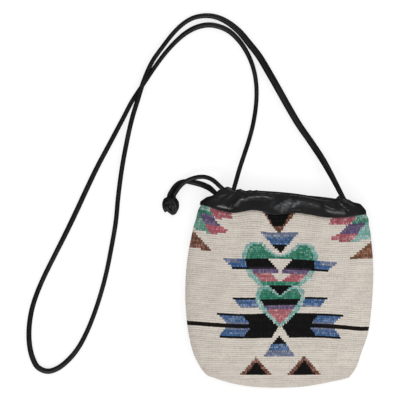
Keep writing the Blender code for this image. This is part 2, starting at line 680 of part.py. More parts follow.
def main() -> None:
    """Builds the bag."""
    for thing in list(bpy.data.objects):
        bpy.data.objects.remove(thing, do_unlink=True)
    home = new_collection("shoulder_bag")
    cutters = new_collection("cutters")
    cotton = finish("cream_cotton", (0.62, 0.57, 0.50), 0.9)
    leather = finish("black_leather", (0.012, 0.012, 0.013), 0.35)
    cord_leather = finish("black_cord", (0.010, 0.010, 0.011), 0.45)
    crochet_body(home, cotton)
    leather_casing(home, cutters, leather)
    shoulder_strap(home, cord_leather)
    stop_knots(home, cord_leather)
    drawstring(home, cord_leather)
    end_knot(home, cutters, cord_leather)


main()
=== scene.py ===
"""The looks of a crocheted drawstring shoulder bag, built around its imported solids.

The bag lies on its back. X runs across it, +Y towards its mouth and +Z out of its front, in metres.
Its colourwork is kept as a chart of plain fields, counted in stitches and rows as a crocheter would.
"""

import logging
import math
from dataclasses import dataclass
from enum import Enum

import bmesh
import bpy
import numpy as np
from mathutils import Matrix, Vector


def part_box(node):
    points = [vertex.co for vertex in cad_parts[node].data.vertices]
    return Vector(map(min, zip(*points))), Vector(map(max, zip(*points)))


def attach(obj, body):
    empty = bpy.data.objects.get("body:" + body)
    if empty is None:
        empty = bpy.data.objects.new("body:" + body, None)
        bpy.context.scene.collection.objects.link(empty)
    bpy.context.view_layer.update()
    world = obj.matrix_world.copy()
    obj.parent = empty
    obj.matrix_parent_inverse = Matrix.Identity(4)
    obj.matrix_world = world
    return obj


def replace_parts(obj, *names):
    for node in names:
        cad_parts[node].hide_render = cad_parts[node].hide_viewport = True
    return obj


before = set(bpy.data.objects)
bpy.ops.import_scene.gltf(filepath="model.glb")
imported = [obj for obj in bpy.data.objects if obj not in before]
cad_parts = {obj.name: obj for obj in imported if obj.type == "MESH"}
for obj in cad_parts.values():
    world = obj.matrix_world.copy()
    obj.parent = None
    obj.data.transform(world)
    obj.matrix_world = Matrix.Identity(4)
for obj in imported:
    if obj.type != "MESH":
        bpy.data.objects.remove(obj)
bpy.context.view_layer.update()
# The map, and the colours the meshes carry: yarn dye with painted shade in the hollows, and a painted sheen.
STITCH_MAP = "stitches"
DYE_AND_SHADE = "dye"
# Where a grey sheen is painted on the band's front, standing in for its highlights.
SHEEN_LAYER = "painted_sheen"
# Points nearer than this, in metres, are one point.
TOUCHING = 1e-6
log = logging.getLogger("shoulder_bag")


@dataclass(frozen=True)
class PhotoScale:
    """How the photograph's pixels lie on the plane of the bag.

    A pixel is so many metres, and the origin is the pixel where X and Y are 0.
    """

    metres: float = 0.00115
    origin: tuple[float, float] = (279.0, 287.3)
    size: float = 400.0

    def place(self, pixels: tuple[float, float]) -> tuple[float, float]:
        """X and Y of a pixel place."""
        return (pixels[0] - self.origin[0]) * self.metres, (self.origin[1] - pixels[1]) * self.metres

    def places(self, pixels: tuple) -> np.ndarray:
        """X and Y of several pixel places."""
        return np.array([self.place(point) for point in pixels])

    def pixels(self, x: np.ndarray, y: np.ndarray) -> tuple[np.ndarray, np.ndarray]:
        """Pixel places of X and Y."""
        return x / self.metres + self.origin[0], self.origin[1] - y / self.metres


PHOTO = PhotoScale()


def smooth_values(knots: np.ndarray, values: np.ndarray, at: np.ndarray) -> np.ndarray:
    """Reads values that stand at rising knots, along a smooth curve.

    Args:
        knots: Where the values stand.
        values: One value, or one row of values, for each knot.
        at: Where to read them.

    Returns:
        The values there.
    """
    knots = np.asarray(knots, float)
    values = np.asarray(values, float)
    slopes = np.gradient(values, knots, axis=0)
    at = np.clip(np.asarray(at, float), knots[0], knots[-1])
    i = np.clip(np.searchsorted(knots, at, side="right") - 1, 0, len(knots) - 2)
    span = knots[i + 1] - knots[i]
    t = (at - knots[i]) / span
    if values.ndim > 1:
        t, span = t[..., None], span[..., None]
    rest = (2 * t**3 - 3 * t**2 + 1) * values[i] + (3 * t**2 - 2 * t**3) * values[i + 1]
    return rest + (t**3 - 2 * t**2 + t) * span * slopes[i] + (t**3 - t**2) * span * slopes[i + 1]


def smooth_route(points: list, count: int) -> np.ndarray:
    """Evenly spaced points of a smooth curve through a route's own points.

    Args:
        points: The route's points, as listed.
        count: How many points to return.

    Returns:
        The points, one row each.
    """
    fineness = 40
    route = np.array([tuple(point) for point in points])
    knots = np.concatenate([[0.0], np.cumsum(np.linalg.norm(np.diff(route, axis=0), axis=1) ** 0.5)])
    fine = smooth_values(knots, route, np.linspace(0.0, knots[-1], fineness * len(points)))
    length = line_lengths(fine)
    at = np.linspace(0.0, length[-1], count)
    return np.stack([np.interp(at, length, fine[:, k]) for k in range(3)], axis=1)


def line_lengths(points: np.ndarray) -> np.ndarray:
    """Length along a line up to each of its points."""
    return np.concatenate([[0.0], np.cumsum(np.linalg.norm(np.diff(points, axis=0), axis=1))])


def ease(value: np.ndarray, low: float, high: float) -> np.ndarray:
    """A soft step from 0 at low to 1 at high."""
    t = np.clip((value - low) / (high - low), 0.0, 1.0)
    return t * t * (3 - 2 * t)


def linear(colour: tuple[float, float, float]) -> tuple[float, float, float]:
    """A colour given from 0 to 255 as a picture shows it, in light units by the sRGB curve."""
    values = np.array(colour) / 255
    made = np.where(values <= 0.04045, values / 12.92, ((values + 0.055) / 1.055) ** 2.4)
    return tuple(float(value) for value in made)


def soft_noise(x: np.ndarray, y: np.ndarray, wave: float, seed: int) -> np.ndarray:
    """Soft unevenness from a few crossing waves.

    Args:
        x: Places across.
        y: Places along.
        wave: The typical distance between two crests.
        seed: Which of many patterns.

    Returns:
        Values from about -1 to 1.
    """
    draw = np.random.default_rng(seed)
    total = np.zeros_like(x)
    waves, shortest, longest, gain = 7, 0.7, 1.6, 1.6
    for _ in range(waves):
        turn, phase = draw.uniform(0, 2 * math.pi, 2)
        pace = 2 * math.pi / (wave * draw.uniform(shortest, longest))
        total += np.sin(pace * (x * math.cos(turn) + y * math.sin(turn)) + phase)
    return total / waves * gain


def between_points(table: np.ndarray, high: np.ndarray, wide: np.ndarray) -> np.ndarray:
    """Reads a grid of values between its points.

    Args:
        table: The values, or rows of values, by row and column.
        high: Where to read, in rows.
        wide: Where to read, in columns.

    Returns:
        The values there.
    """
    i = np.clip(high.astype(int), 0, table.shape[0] - 2)
    j = np.clip(wide.astype(int), 0, table.shape[1] - 2)
    down, across = high - i, wide - j
    if table.ndim > 2:
        down, across = down[..., None], across[..., None]
    upper = table[i, j] * (1 - across) + table[i, j + 1] * across
    lower = table[i + 1, j] * (1 - across) + table[i + 1, j + 1] * across
    return upper * (1 - down) + lower * down


def outward_ways(along: np.ndarray, place: np.ndarray, reach: int) -> np.ndarray:
    """The ways out of a grid that closes on itself across.

    Args:
        along: The way from row to row at each point.
        place: The points.
        reach: How many columns to each side give the way across.

    Returns:
        The unit ways out.
    """
    across = np.roll(place[:, :-1], -reach, axis=1) - np.roll(place[:, :-1], reach, axis=1)
    across = np.concatenate([across, across[:, :1]], axis=1)
    out = np.cross(along, across)
    return out / np.linalg.norm(out, axis=2, keepdims=True)


def round_solid(name: str, work: bmesh.types.BMesh) -> bpy.types.Mesh:
    """A smooth-shaded mesh of what was worked, which ends the work."""
    for face in work.faces:
        face.smooth = True
    mesh = bpy.data.meshes.new(name)
    work.to_mesh(mesh)
    work.free()
    return mesh


class Nodes:
    """Puts shader nodes in a tree and joins them."""

    def __init__(self, tree: bpy.types.NodeTree) -> None:
        """Starts on a tree."""
        self.tree = tree

    def add(self, kind: str, inputs: dict | None = None, **settings: object) -> bpy.types.Node:
        """One node.

        Args:
            kind: The node's type, without its ShaderNode prefix.
            inputs: Values or sockets for its inputs, by name or number.
            **settings: The node's own settings.

        Returns:
            The node.
        """
        node = self.tree.nodes.new("ShaderNode" + kind)
        for name, value in settings.items():
            setattr(node, name, value)
        for name, value in (inputs or {}).items():
            if isinstance(value, bpy.types.NodeSocket):
                self.tree.links.new(value, node.inputs[name])
            else:
                node.inputs[name].default_value = value
        return node

    def clear(self) -> None:
        """Takes out what the tree starts with."""
        for node in list(self.tree.nodes):
            self.tree.nodes.remove(node)

    def maths(self, operation: str, first: object, second: object = 0.0) -> bpy.types.NodeSocket:
        """The result of one sum."""
        return self.add("Math", {0: first, 1: second}, operation=operation).outputs[0]

    def mix(self, share: object, first: object, second: object, blend: str = "MIX") -> bpy.types.NodeSocket:
        """Two colours mixed, the second one by its share."""
        node = self.add("Mix", data_type="RGBA", blend_type=blend)
        for slot, value in ((0, share), (6, first), (7, second)):
            if isinstance(value, bpy.types.NodeSocket):
                self.tree.links.new(value, node.inputs[slot])
            else:
                node.inputs[slot].default_value = value
        return node.outputs[2]

    def ramp(self, value: object, low: float, high: float, start: float, end: float) -> bpy.types.NodeSocket:
        """A value moved from one range to another and kept inside it."""
        inputs = {0: value, 1: low, 2: high, 3: start, 4: end}
        return self.add("MapRange", inputs).outputs[0]


def new_effect(name: str, inputs: dict, outputs: tuple) -> tuple[bpy.types.NodeTree, Nodes, dict]:
    """A shader node group with its sockets.

    Args:
        name: The group's name.
        inputs: The kind and the usual value of each input, by name.
        outputs: The name and kind of each output.

    Returns:
        The group, a builder for it and its input sockets by name.
    """
    group = bpy.data.node_groups.new(name, "ShaderNodeTree")
    for label, (kind, value) in inputs.items():
        socket = group.interface.new_socket(name=label, in_out="INPUT", socket_type=kind)
        if value is not None:
            socket.default_value = value
    for label, kind in outputs:
        group.interface.new_socket(name=label, in_out="OUTPUT", socket_type=kind)
    build = Nodes(group)
    entry = group.nodes.new("NodeGroupInput")
    return group, build, {label: entry.outputs[label] for label in inputs}


def end_effect(build: Nodes, results: dict) -> None:
    """Joins a group's results to its outputs."""
    end = build.tree.nodes.new("NodeGroupOutput")
    for label, socket in results.items():
        build.tree.links.new(socket, end.inputs[label])


def hide_grain_effect() -> bpy.types.NodeTree:
    """The pebbled grain of leather, with its fine creases.

    Returns:
        A group that gives a height and a mask of worn spots.
    """
    inputs = {"Place": ("NodeSocketVector", None), "Pebbles": ("NodeSocketFloat", 900.0)}
    outputs = (("Height", "NodeSocketFloat"), ("Worn", "NodeSocketFloat"))
    group, build, given = new_effect("hide_grain", inputs, outputs)
    fold_scale, patch_scale, pebble_height = 0.12, 0.04, 0.5
    worn_from, worn_to = 0.42, 0.72
    place = given["Place"]
    pebbles = build.add("TexVoronoi", {"Vector": place, "Scale": given["Pebbles"], "Randomness": 1.0})
    coarse = build.maths("MULTIPLY", given["Pebbles"], fold_scale)
    folds = build.add("TexNoise", {"Vector": place, "Scale": coarse, "Detail": 4.0, "Roughness": 0.6})
    height = build.maths("MULTIPLY", pebbles.outputs[0], pebble_height)
    height = build.maths("ADD", height, folds.outputs[0])
    patches = build.maths("MULTIPLY", given["Pebbles"], patch_scale)
    broad = build.add("TexNoise", {"Vector": place, "Scale": patches, "Detail": 3.0})
    worn = build.ramp(broad.outputs[0], worn_from, worn_to, 0.0, 1.0)
    end_effect(build, {"Height": height, "Worn": worn})
    return group


def spun_yarn_effect() -> bpy.types.NodeTree:
    """Plied cotton.

    Returns:
        A group that gives a tint that goes with its fibres and a height of its twist.
    """
    inputs = {"Stitches": ("NodeSocketVector", None), "Place": ("NodeSocketVector", None)}
    outputs = (("Tint", "NodeSocketFloat"), ("Height", "NodeSocketFloat"))
    group, build, given = new_effect("spun_yarn", inputs, outputs)
    ply_angle, fibre_scale, cloud_scale, fibre_height = 0.9, 2600.0, 55.0, 0.6
    fibre_tint, cloud_tint = (0.90, 1.08), (0.965, 1.03)
    turned = build.add("Mapping", {"Vector": given["Stitches"], "Rotation": (0.0, 0.0, ply_angle)}).outputs[0]
    twist = build.add("TexWave", {"Vector": turned, "Scale": 2.1, "Distortion": 2.5, "Detail": 2.0})
    fibres = build.add("TexNoise", {"Vector": given["Place"], "Scale": fibre_scale, "Detail": 3.0})
    clouds = build.add("TexNoise", {"Vector": given["Place"], "Scale": cloud_scale, "Detail": 2.0})
    tint = build.ramp(fibres.outputs[0], 0.3, 0.7, *fibre_tint)
    tint = build.maths("MULTIPLY", tint, build.ramp(clouds.outputs[0], 0.3, 0.7, *cloud_tint))
    fluff = build.maths("MULTIPLY", fibres.outputs[0], fibre_height)
    height = build.maths("ADD", twist.outputs[1], fluff)
    end_effect(build, {"Tint": tint, "Height": height})
    return group


@dataclass(frozen=True)
class Cotton:
    """Crochet cotton: its dye with painted shade in the hollows comes from the mesh, its twist from the
    stitches.
    """

    name: str
    dye: str | None = None
    plain: tuple[float, float, float] = (200, 191, 181)
    roughness: float = 0.88
    fuzz: float = 0.05
    fuzz_roughness: float = 0.5
    specular: float = 0.2
    bump: float = 0.35
    bump_depth: float = 0.00025

    def material(self, yarn: bpy.types.NodeTree) -> bpy.types.Material:
        """The material.

        Args:
            yarn: The spun yarn effect.

        Returns:
            The material, named for the finish.
        """
        material = bpy.data.materials.new(self.name)
        material.use_nodes = True
        build = Nodes(material.node_tree)
        shader = material.node_tree.nodes["Principled BSDF"]
        shader.inputs["Roughness"].default_value = self.roughness
        shader.inputs["Sheen Weight"].default_value = self.fuzz
        shader.inputs["Sheen Roughness"].default_value = self.fuzz_roughness
        shader.inputs["Specular IOR Level"].default_value = self.specular
        place = build.add("TexCoord").outputs["Object"]
        stitches = build.add("UVMap", uv_map=STITCH_MAP).outputs[0]
        group = build.add("Group", node_tree=yarn)
        build.tree.links.new(stitches, group.inputs["Stitches"])
        build.tree.links.new(place, group.inputs["Place"])
        if self.dye:
            colour = build.add("VertexColor", layer_name=self.dye).outputs[0]
        else:
            colour = build.add("RGB").outputs[0]
            colour.default_value = (*linear(self.plain), 1.0)
        tint = build.add("CombineColor", {i: group.outputs["Tint"] for i in range(3)}).outputs[0]
        shaded = build.mix(1.0, colour, tint, "MULTIPLY")
        build.tree.links.new(shaded, shader.inputs["Base Color"])
        inputs = {"Strength": self.bump, "Distance": self.bump_depth, "Height": group.outputs["Height"]}
        build.tree.links.new(build.add("Bump", inputs).outputs[0], shader.inputs["Normal"])
        return material


DYED_COTTON = Cotton("dyed_cotton", dye=DYE_AND_SHADE)
CREAM_COTTON = Cotton("cream_cotton")


@dataclass(frozen=True)
class Leather:
    """Black leather, from a glossy skin to a duller round cord, with a grey sheen painted where its mesh
    marks highlights.
    """

    name: str
    colour: tuple[float, float, float]
    worn_colour: tuple[float, float, float]
    roughness: float
    worn_roughness: float
    coat: float
    coat_roughness: float
    specular: float
    pebbles: float
    bump: float
    bump_depth: float = 0.00015
    # A painted sheen: where the mesh marks it, the colour goes grey, broken by noise, standing in for
    # highlights.
    painted_sheen: str | None = None
    sheen_colour: tuple[float, float, float] = (98, 100, 104)
    sheen_grain: float = 420.0
    sheen_noise: tuple[float, float] = (0.36, 0.62)
    sheen_least: float = 0.30

    def material(self, grain: bpy.types.NodeTree) -> bpy.types.Material:
        """The material.

        Args:
            grain: The hide grain effect.

        Returns:
            The material, named for the finish.
        """
        material = bpy.data.materials.new(self.name)
        material.use_nodes = True
        build = Nodes(material.node_tree)
        shader = material.node_tree.nodes["Principled BSDF"]
        shader.inputs["Specular IOR Level"].default_value = self.specular
        shader.inputs["Coat Weight"].default_value = self.coat
        shader.inputs["Coat Roughness"].default_value = self.coat_roughness
        place = build.add("TexCoord").outputs["Object"]
        group = build.add("Group", node_tree=grain)
        build.tree.links.new(place, group.inputs["Place"])
        group.inputs["Pebbles"].default_value = self.pebbles
        first, second = (*linear(self.colour), 1.0), (*linear(self.worn_colour), 1.0)
        colour = build.mix(group.outputs["Worn"], first, second)
        # Painted sheen: grey mixed into the colour where the mesh marks highlights.
        if self.painted_sheen:
            share = build.add("VertexColor", layer_name=self.painted_sheen).outputs[0]
            clouds = build.add("TexNoise", {"Vector": place, "Scale": self.sheen_grain, "Detail": 3.0})
            broken = build.ramp(clouds.outputs[0], *self.sheen_noise, self.sheen_least, 1.0)
            share = build.maths("MULTIPLY", share, broken)
            colour = build.mix(share, colour, (*linear(self.sheen_colour), 1.0))
        build.tree.links.new(colour, shader.inputs["Base Color"])
        dull = build.ramp(group.outputs["Worn"], 0.0, 1.0, self.roughness, self.worn_roughness)
        build.tree.links.new(dull, shader.inputs["Roughness"])
        inputs = {"Strength": self.bump, "Distance": self.bump_depth, "Height": group.outputs["Height"]}
        build.tree.links.new(build.add("Bump", inputs).outputs[0], shader.inputs["Normal"])
        return material


CORD_LEATHER = Leather(
    name="black_cord", colour=(22, 21, 21), worn_colour=(34, 33, 33), roughness=0.42, worn_roughness=0.55,
    coat=0.10, coat_roughness=0.35, specular=0.45, pebbles=1400.0, bump=0.35,
)
BAND_LEATHER = Leather(
    name="black_leather", colour=(24, 24, 25), worn_colour=(29, 29, 30), roughness=0.34, worn_roughness=0.42,
    coat=0.55, coat_roughness=0.20, specular=0.5, pebbles=1100.0, bump=0.25, painted_sheen=SHEEN_LAYER,
)
BAND_THREAD = Leather(
    name="black_thread", colour=(30, 29, 29), worn_colour=(40, 38, 38), roughness=0.7, worn_roughness=0.8,
    coat=0.0, coat_roughness=0.5, specular=0.3, pebbles=3000.0, bump=0.4,
)


class Yarn(Enum):
    """The yarns of the colourwork."""

    CREAM = 0
    BLACK = 1
    BROWN = 2
    RUST = 3
    GREEN = 4
    TEAL = 5
    BLUE = 6
    PERIWINKLE = 7
    PURPLE = 8
    PINK = 9
    SALMON = 10
    UMBER = 11
    PLUM = 12
    SEA = 13


@dataclass(frozen=True)
class Dye:
    """How one yarn is dyed.

    Its tone is uneven by a share, and its specks go towards a colour of their own.
    """

    colour: tuple[float, float, float]
    uneven: float = 0.10
    specks: float = 0.10
    speck_colour: tuple[float, float, float] = (199, 190, 181)


DYES = {
    Yarn.CREAM: Dye((229, 220, 209), 0.032, 0.08, (194, 182, 170)),
    Yarn.BLACK: Dye((14, 12, 13), 0.20, 0.03, (56, 46, 52)),
    Yarn.BROWN: Dye((104, 68, 52), 0.20, 0.32, (172, 126, 112)),
    Yarn.RUST: Dye((112, 76, 52), 0.18, 0.30, (172, 124, 104)),
    Yarn.GREEN: Dye((44, 121, 96), 0.15, 0.18, (136, 186, 168)),
    Yarn.TEAL: Dye((119, 174, 166), 0.13, 0.30, (206, 206, 204)),
    Yarn.BLUE: Dye((59, 93, 138), 0.18, 0.16, (146, 160, 182)),
    Yarn.PERIWINKLE: Dye((110, 118, 145), 0.15, 0.24, (176, 178, 182)),
    Yarn.PURPLE: Dye((95, 80, 116), 0.15, 0.16, (156, 142, 158)),
    Yarn.PINK: Dye((173, 93, 105), 0.15, 0.20, (214, 166, 162)),
    Yarn.SALMON: Dye((172, 102, 110), 0.15, 0.24, (212, 166, 156)),
    Yarn.UMBER: Dye((20, 14, 11), 0.20, 0.05, (66, 48, 40)),
    Yarn.PLUM: Dye((44, 34, 50), 0.20, 0.12, (110, 96, 120)),
    Yarn.SEA: Dye((98, 150, 133), 0.24, 0.28, (178, 198, 188)),
}


@dataclass(frozen=True)
class Field:
    """A field of one yarn, by its corners, worked again on the other side of the middle if mirrored."""

    yarn: Yarn
    corners: tuple
    mirrored: bool = False

    def covers(self, x: np.ndarray, y: np.ndarray) -> np.ndarray:
        """Which places lie in the field."""
        found = self.inside(x, y)
        return found | self.inside(-x, y) if self.mirrored else found

    def inside(self, x: np.ndarray, y: np.ndarray) -> np.ndarray:
        """Which places lie inside the corners."""
        found = np.zeros(x.shape, bool)
        points = np.array(self.corners, float)
        for (ax, ay), (bx, by) in zip(points, np.roll(points, -1, axis=0)):
            if ay == by:
                continue
            crosses = (ay > y) != (by > y)
            found ^= crosses & (x < (bx - ax) * (y - ay) / (by - ay) + ax)
        return found


# The middle of the chart: stitches from the bag's middle, and rows down from the mouth seam.
# Later fields lie over earlier ones.
MIDDLE_CHART = (
    Field(Yarn.BROWN, ((-12.3, -3), (11.8, -3), (-0.9, 9.5))),
    Field(Yarn.BLACK, ((-10.2, -3), (7.9, -3), (1.2, 5.8), (-3.5, 5.8))),
    Field(Yarn.PERIWINKLE, ((-10.2, 9.3), (9.2, 9.3), (7.6, 11.8), (-7.8, 11.8))),
    Field(Yarn.BLUE, ((-7.8, 11.5), (7.4, 11.5), (4.2, 15.1), (-4.4, 15.1))),
    Field(Yarn.BLACK, ((-4.5, 15.1), (4.3, 15.1), (0.2, 19.2))),
    Field(Yarn.TEAL, (
        (0, 20.2), (2.4, 19.6), (4.2, 18.5), (6.8, 16.4), (9.2, 14.4), (13.2, 13.9), (16.4, 14.3),
        (18.5, 16.2), (19.9, 19.2), (20.0, 22), (18.9, 26.4), (17.6, 28.6), (16.4, 30.6), (13.6, 33.1),
        (10.4, 35.5), (11.8, 36.7), (12.9, 38.7), (12.9, 42.6), (11.2, 45.9), (8.4, 49.2), (0, 55.9),
    ), True),
    Field(Yarn.GREEN, (
        (0, 21.5), (2.6, 20.9), (4.7, 19.7), (7.8, 17.4), (10, 15.4), (13.8, 15.1), (16, 16.2),
        (17.4, 19.2), (17.8, 22.2), (0, 22.2),
    ), True),
    Field(Yarn.CREAM, (
        (0, 22.1), (6.4, 22.1), (1.3, 27.2), (1.0, 28.9), (5.3, 28.9), (0.9, 32.7), (0, 32.7),
    ), True),
    Field(Yarn.BLUE, ((17.3, 22.1), (29.6, 22.4), (25.3, 26.4), (16.8, 26.4)), True),
    Field(Yarn.PERIWINKLE, ((22.5, 22.1), (30.2, 22.4), (27.2, 24.6), (21.5, 23.6)), True),
    Field(Yarn.BLACK, ((6.4, 22.1), (18.3, 22.1), (17.4, 27.2), (1.3, 27.2)), True),
    Field(Yarn.PLUM, ((2.3, 26.1), (16.6, 26.1), (16.4, 27.2), (1.3, 27.2)), True),
    Field(Yarn.BLACK, ((16.2, 26.2), (25.9, 26.2), (25.0, 27.3), (16.2, 27.3)), True),
    Field(Yarn.PURPLE, ((0.9, 27.2), (15.4, 27.2), (14.3, 28.9), (1.0, 28.9)), True),
    Field(Yarn.PINK, ((5.3, 28.9), (14.2, 28.9), (9.9, 32.7), (1.0, 32.7)), True),
    Field(Yarn.GREEN, ((0, 32.7), (10.5, 32.7), (8.8, 35.1), (0, 35.1)), True),
    Field(Yarn.GREEN, (
        (0, 42.2), (10.8, 42.2), (10.9, 40.4), (10.3, 38.7), (8.8, 36.9), (6.4, 36.9), (0, 41.5),
    ), True),
    Field(Yarn.BLACK, ((0, 35), (6.6, 35), (0, 40.1)), True),
    Field(Yarn.BLACK, ((0, 42.1), (10.6, 42.1), (8.6, 44.9), (0, 44.9)), True),
    Field(Yarn.PURPLE, ((0, 44.9), (8.5, 44.9), (7.2, 46.7), (0, 46.7)), True),
    Field(Yarn.SALMON, ((0, 46.7), (7.3, 46.7), (4.5, 50.0), (0, 50.0)), True),
    Field(Yarn.PINK, ((0, 50.0), (4.6, 50.0), (0, 53.8)), True),
    Field(Yarn.BLUE, ((12.9, 42.2), (24.0, 42.2), (20.8, 46.0), (11.3, 46.0)), True),
    Field(Yarn.PERIWINKLE, ((11.9, 44.9), (21.8, 44.9), (20.8, 46.0), (11.2, 46.0)), True),
    Field(Yarn.BLACK, ((13.0, 41.3), (25.3, 41.3), (24.3, 42.4), (13.0, 42.4)), True),
    Field(Yarn.BLUE, ((16, 49.9), (32.3, 49.9), (28.4, 53.5), (15, 53.5)), True),
    Field(Yarn.PERIWINKLE, ((15, 52.9), (29.0, 52.9), (27.6, 54.4), (15, 54.4)), True),
    Field(Yarn.PERIWINKLE, ((15, 55.8), (28.3, 55.8), (29.0, 56.6), (15, 56.6)), True),
    Field(Yarn.BLUE, ((15, 56.6), (29.0, 56.6), (32.2, 60.2), (15, 60.2)), True),
    Field(Yarn.UMBER, ((15, 53.9), (70, 53.9), (70, 56.0), (15, 56.0)), True),
    Field(Yarn.BLACK, (
        (0.9, 55.6), (8.3, 48.9), (33.6, 48.9), (33.0, 50.0), (19.9, 50.0), (17.4, 52.5), (16.2, 54.0),
        (25, 54.1), (25, 55.9), (15.8, 56.0), (18.8, 59.9), (32.2, 59.9), (31.6, 61.0), (4.7, 61.0),
    ), True),
    Field(Yarn.BLACK, ((-0.5, 60.0), (3.2, 63.8), (-4.2, 63.8))),
    Field(Yarn.BLUE, ((-4.2, 63.7), (3.2, 63.7), (5.6, 67.0), (-6.6, 67.0))),
    Field(Yarn.PERIWINKLE, ((-6.6, 66.9), (5.6, 66.9), (7.9, 69.9), (-8.9, 69.9))),
    Field(Yarn.BROWN, ((-12.6, 70.4), (-3.7, 79.1), (-21.5, 79.1))),
    Field(Yarn.BLACK, ((-12.6, 72.6), (-6.5, 79.1), (-18.7, 79.1))),
    Field(Yarn.BROWN, ((12.6, 69.6), (21.5, 78.8), (3.7, 78.8))),
    Field(Yarn.BLACK, ((12.6, 71.8), (18.5, 78.8), (6.8, 78.8))),
)

# The two upper corners of the chart, in the photograph's pixels, because the pull of the band bends them.
CORNER_CHART = (
    Field(Yarn.SEA, (
        (180, 198), (209.4, 203), (209.5, 207.8), (213.6, 216.6), (204.4, 223.7), (210.6, 233.7),
        (194, 228.6), (180, 224),
    )),
    Field(Yarn.TEAL, ((196, 204.2), (209.3, 207.6), (209.6, 209.4), (196, 206.4))),
    Field(Yarn.GREEN, ((196, 208.4), (209.4, 212.4), (213.2, 216.8), (196, 213.0))),
    Field(Yarn.PINK, ((208.8, 204.0), (230.0, 211.0), (232.8, 218.7), (219.0, 218.6), (212.2, 216.1))),
    Field(Yarn.PURPLE, ((199.2, 212.4), (213.8, 216.7), (216.5, 221.4), (220.0, 225.6), (204.4, 223.8))),
    Field(Yarn.PINK, ((204.2, 223.6), (219.8, 225.4), (229.0, 230.8), (225.0, 232.8), (210.4, 234.0))),
    Field(Yarn.BROWN, ((180, 231), (193.4, 231.2), (211.4, 250.4), (190, 248.0), (180, 247.0))),
    Field(Yarn.PINK, ((333.8, 214.0), (358.0, 213.0), (355.5, 220.0), (346.8, 225.4), (328.0, 224.9))),
    Field(Yarn.TEAL, (
        (357.4, 213.0), (380, 210.0), (380, 239.4), (371.4, 239.4), (349.8, 241.8), (357.6, 234.4),
        (365.0, 223.0), (354.2, 220.6),
    )),
    Field(Yarn.SEA, ((354.6, 218.6), (369.6, 215.4), (369.6, 223.0), (352.0, 223.0))),
    Field(Yarn.GREEN, ((353.0, 221.6), (362.0, 220.0), (368.8, 218.2), (367.4, 221.8), (349.0, 225.2))),
    Field(Yarn.PURPLE, ((348.6, 224.2), (366.0, 222.4), (357.8, 234.2), (338.8, 234.0))),
    Field(Yarn.PINK, ((338.6, 233.8), (358.0, 233.6), (349.9, 241.7), (340.0, 241.4), (328.2, 238.3))),
    Field(Yarn.RUST, ((371.8, 241.6), (380, 238.0), (380, 258.4), (372.4, 258.4), (347.8, 260.0))),
)


@dataclass(frozen=True)
class Section:
    """A closed round in real sizes, described by its two side folds and its two middles.

    The left and right folds give X and Y, and the front and back middles give Y and Z.
    """

    left: tuple[float, float]
    right: tuple[float, float]
    fold_z: float
    front: tuple[float, float]
    back: tuple[float, float]
    fold_radius: float

    @property
    def middle_x(self) -> float:
        """X halfway between the side folds."""
        return (self.left[0] + self.right[0]) / 2

    @property
    def half_width(self) -> float:
        """Half the distance between the side folds."""
        return (self.right[0] - self.left[0]) / 2

    def dense(self, steps: int = 720) -> np.ndarray:
        """Angle, X, Z and length along the round, from the front middle round by the left.

        Args:
            steps: How many steps the round has.

        Returns:
            One row for each step.
        """
        angle = np.linspace(math.pi / 2, math.pi / 2 + 2 * math.pi, steps + 1)
        radius = self.fold_radius
        flat = 1e-5
        half = self.half_width - radius
        rise = max(self.front[1] - self.fold_z - radius, flat)
        drop = max(self.fold_z - self.back[1] - radius, flat)
        high = np.where(np.sin(angle) >= 0, rise, drop)
        reach = np.sqrt((half * np.cos(angle)) ** 2 + (high * np.sin(angle)) ** 2)
        x = self.middle_x + half**2 * np.cos(angle) / reach + radius * np.cos(angle)
        z = self.fold_z + high**2 * np.sin(angle) / reach + radius * np.sin(angle)
        length = np.concatenate([[0.0], np.cumsum(np.hypot(np.diff(x), np.diff(z)))])
        return np.stack([angle, x, z, length], axis=1)

    def read(self, share: np.ndarray) -> np.ndarray:
        """Angle, X and Z at shares of the way round, one row each."""
        dense = self.dense()
        at = np.mod(np.asarray(share, float), 1.0) * dense[-1, 3]
        return np.stack([np.interp(at, dense[:, 3], dense[:, k]) for k in range(3)], axis=1)

    def plain_y(self, x: np.ndarray, on_front: np.ndarray) -> np.ndarray:
        """Y of the round without the seam's waves.

        Args:
            x: Where across the bag.
            on_front: Whether each place lies on the front.

        Returns:
            Y there.
        """
        flatness, fullness = 2.5, 0.8
        share = np.clip((x - self.middle_x) / self.half_width, -1.0, 1.0)
        ends = self.left[1] + (self.right[1] - self.left[1]) * (share + 1) / 2
        mean = (self.left[1] + self.right[1]) / 2
        middle = np.where(on_front, self.front[0], self.back[0])
        across = np.clip(1.0 - np.abs(share) ** flatness, 0.0, 1.0) ** fullness
        return ends + (middle - mean) * across

    def inset(self, by: float) -> "Section":
        """The parallel round that lies a distance inside this one."""
        return Section(
            (self.left[0] + by, self.left[1]),
            (self.right[0] - by, self.right[1]),
            self.fold_z,
            (self.front[0], self.front[1] - by),
            (self.back[0], self.back[1] + by),
            self.fold_radius - by,
        )


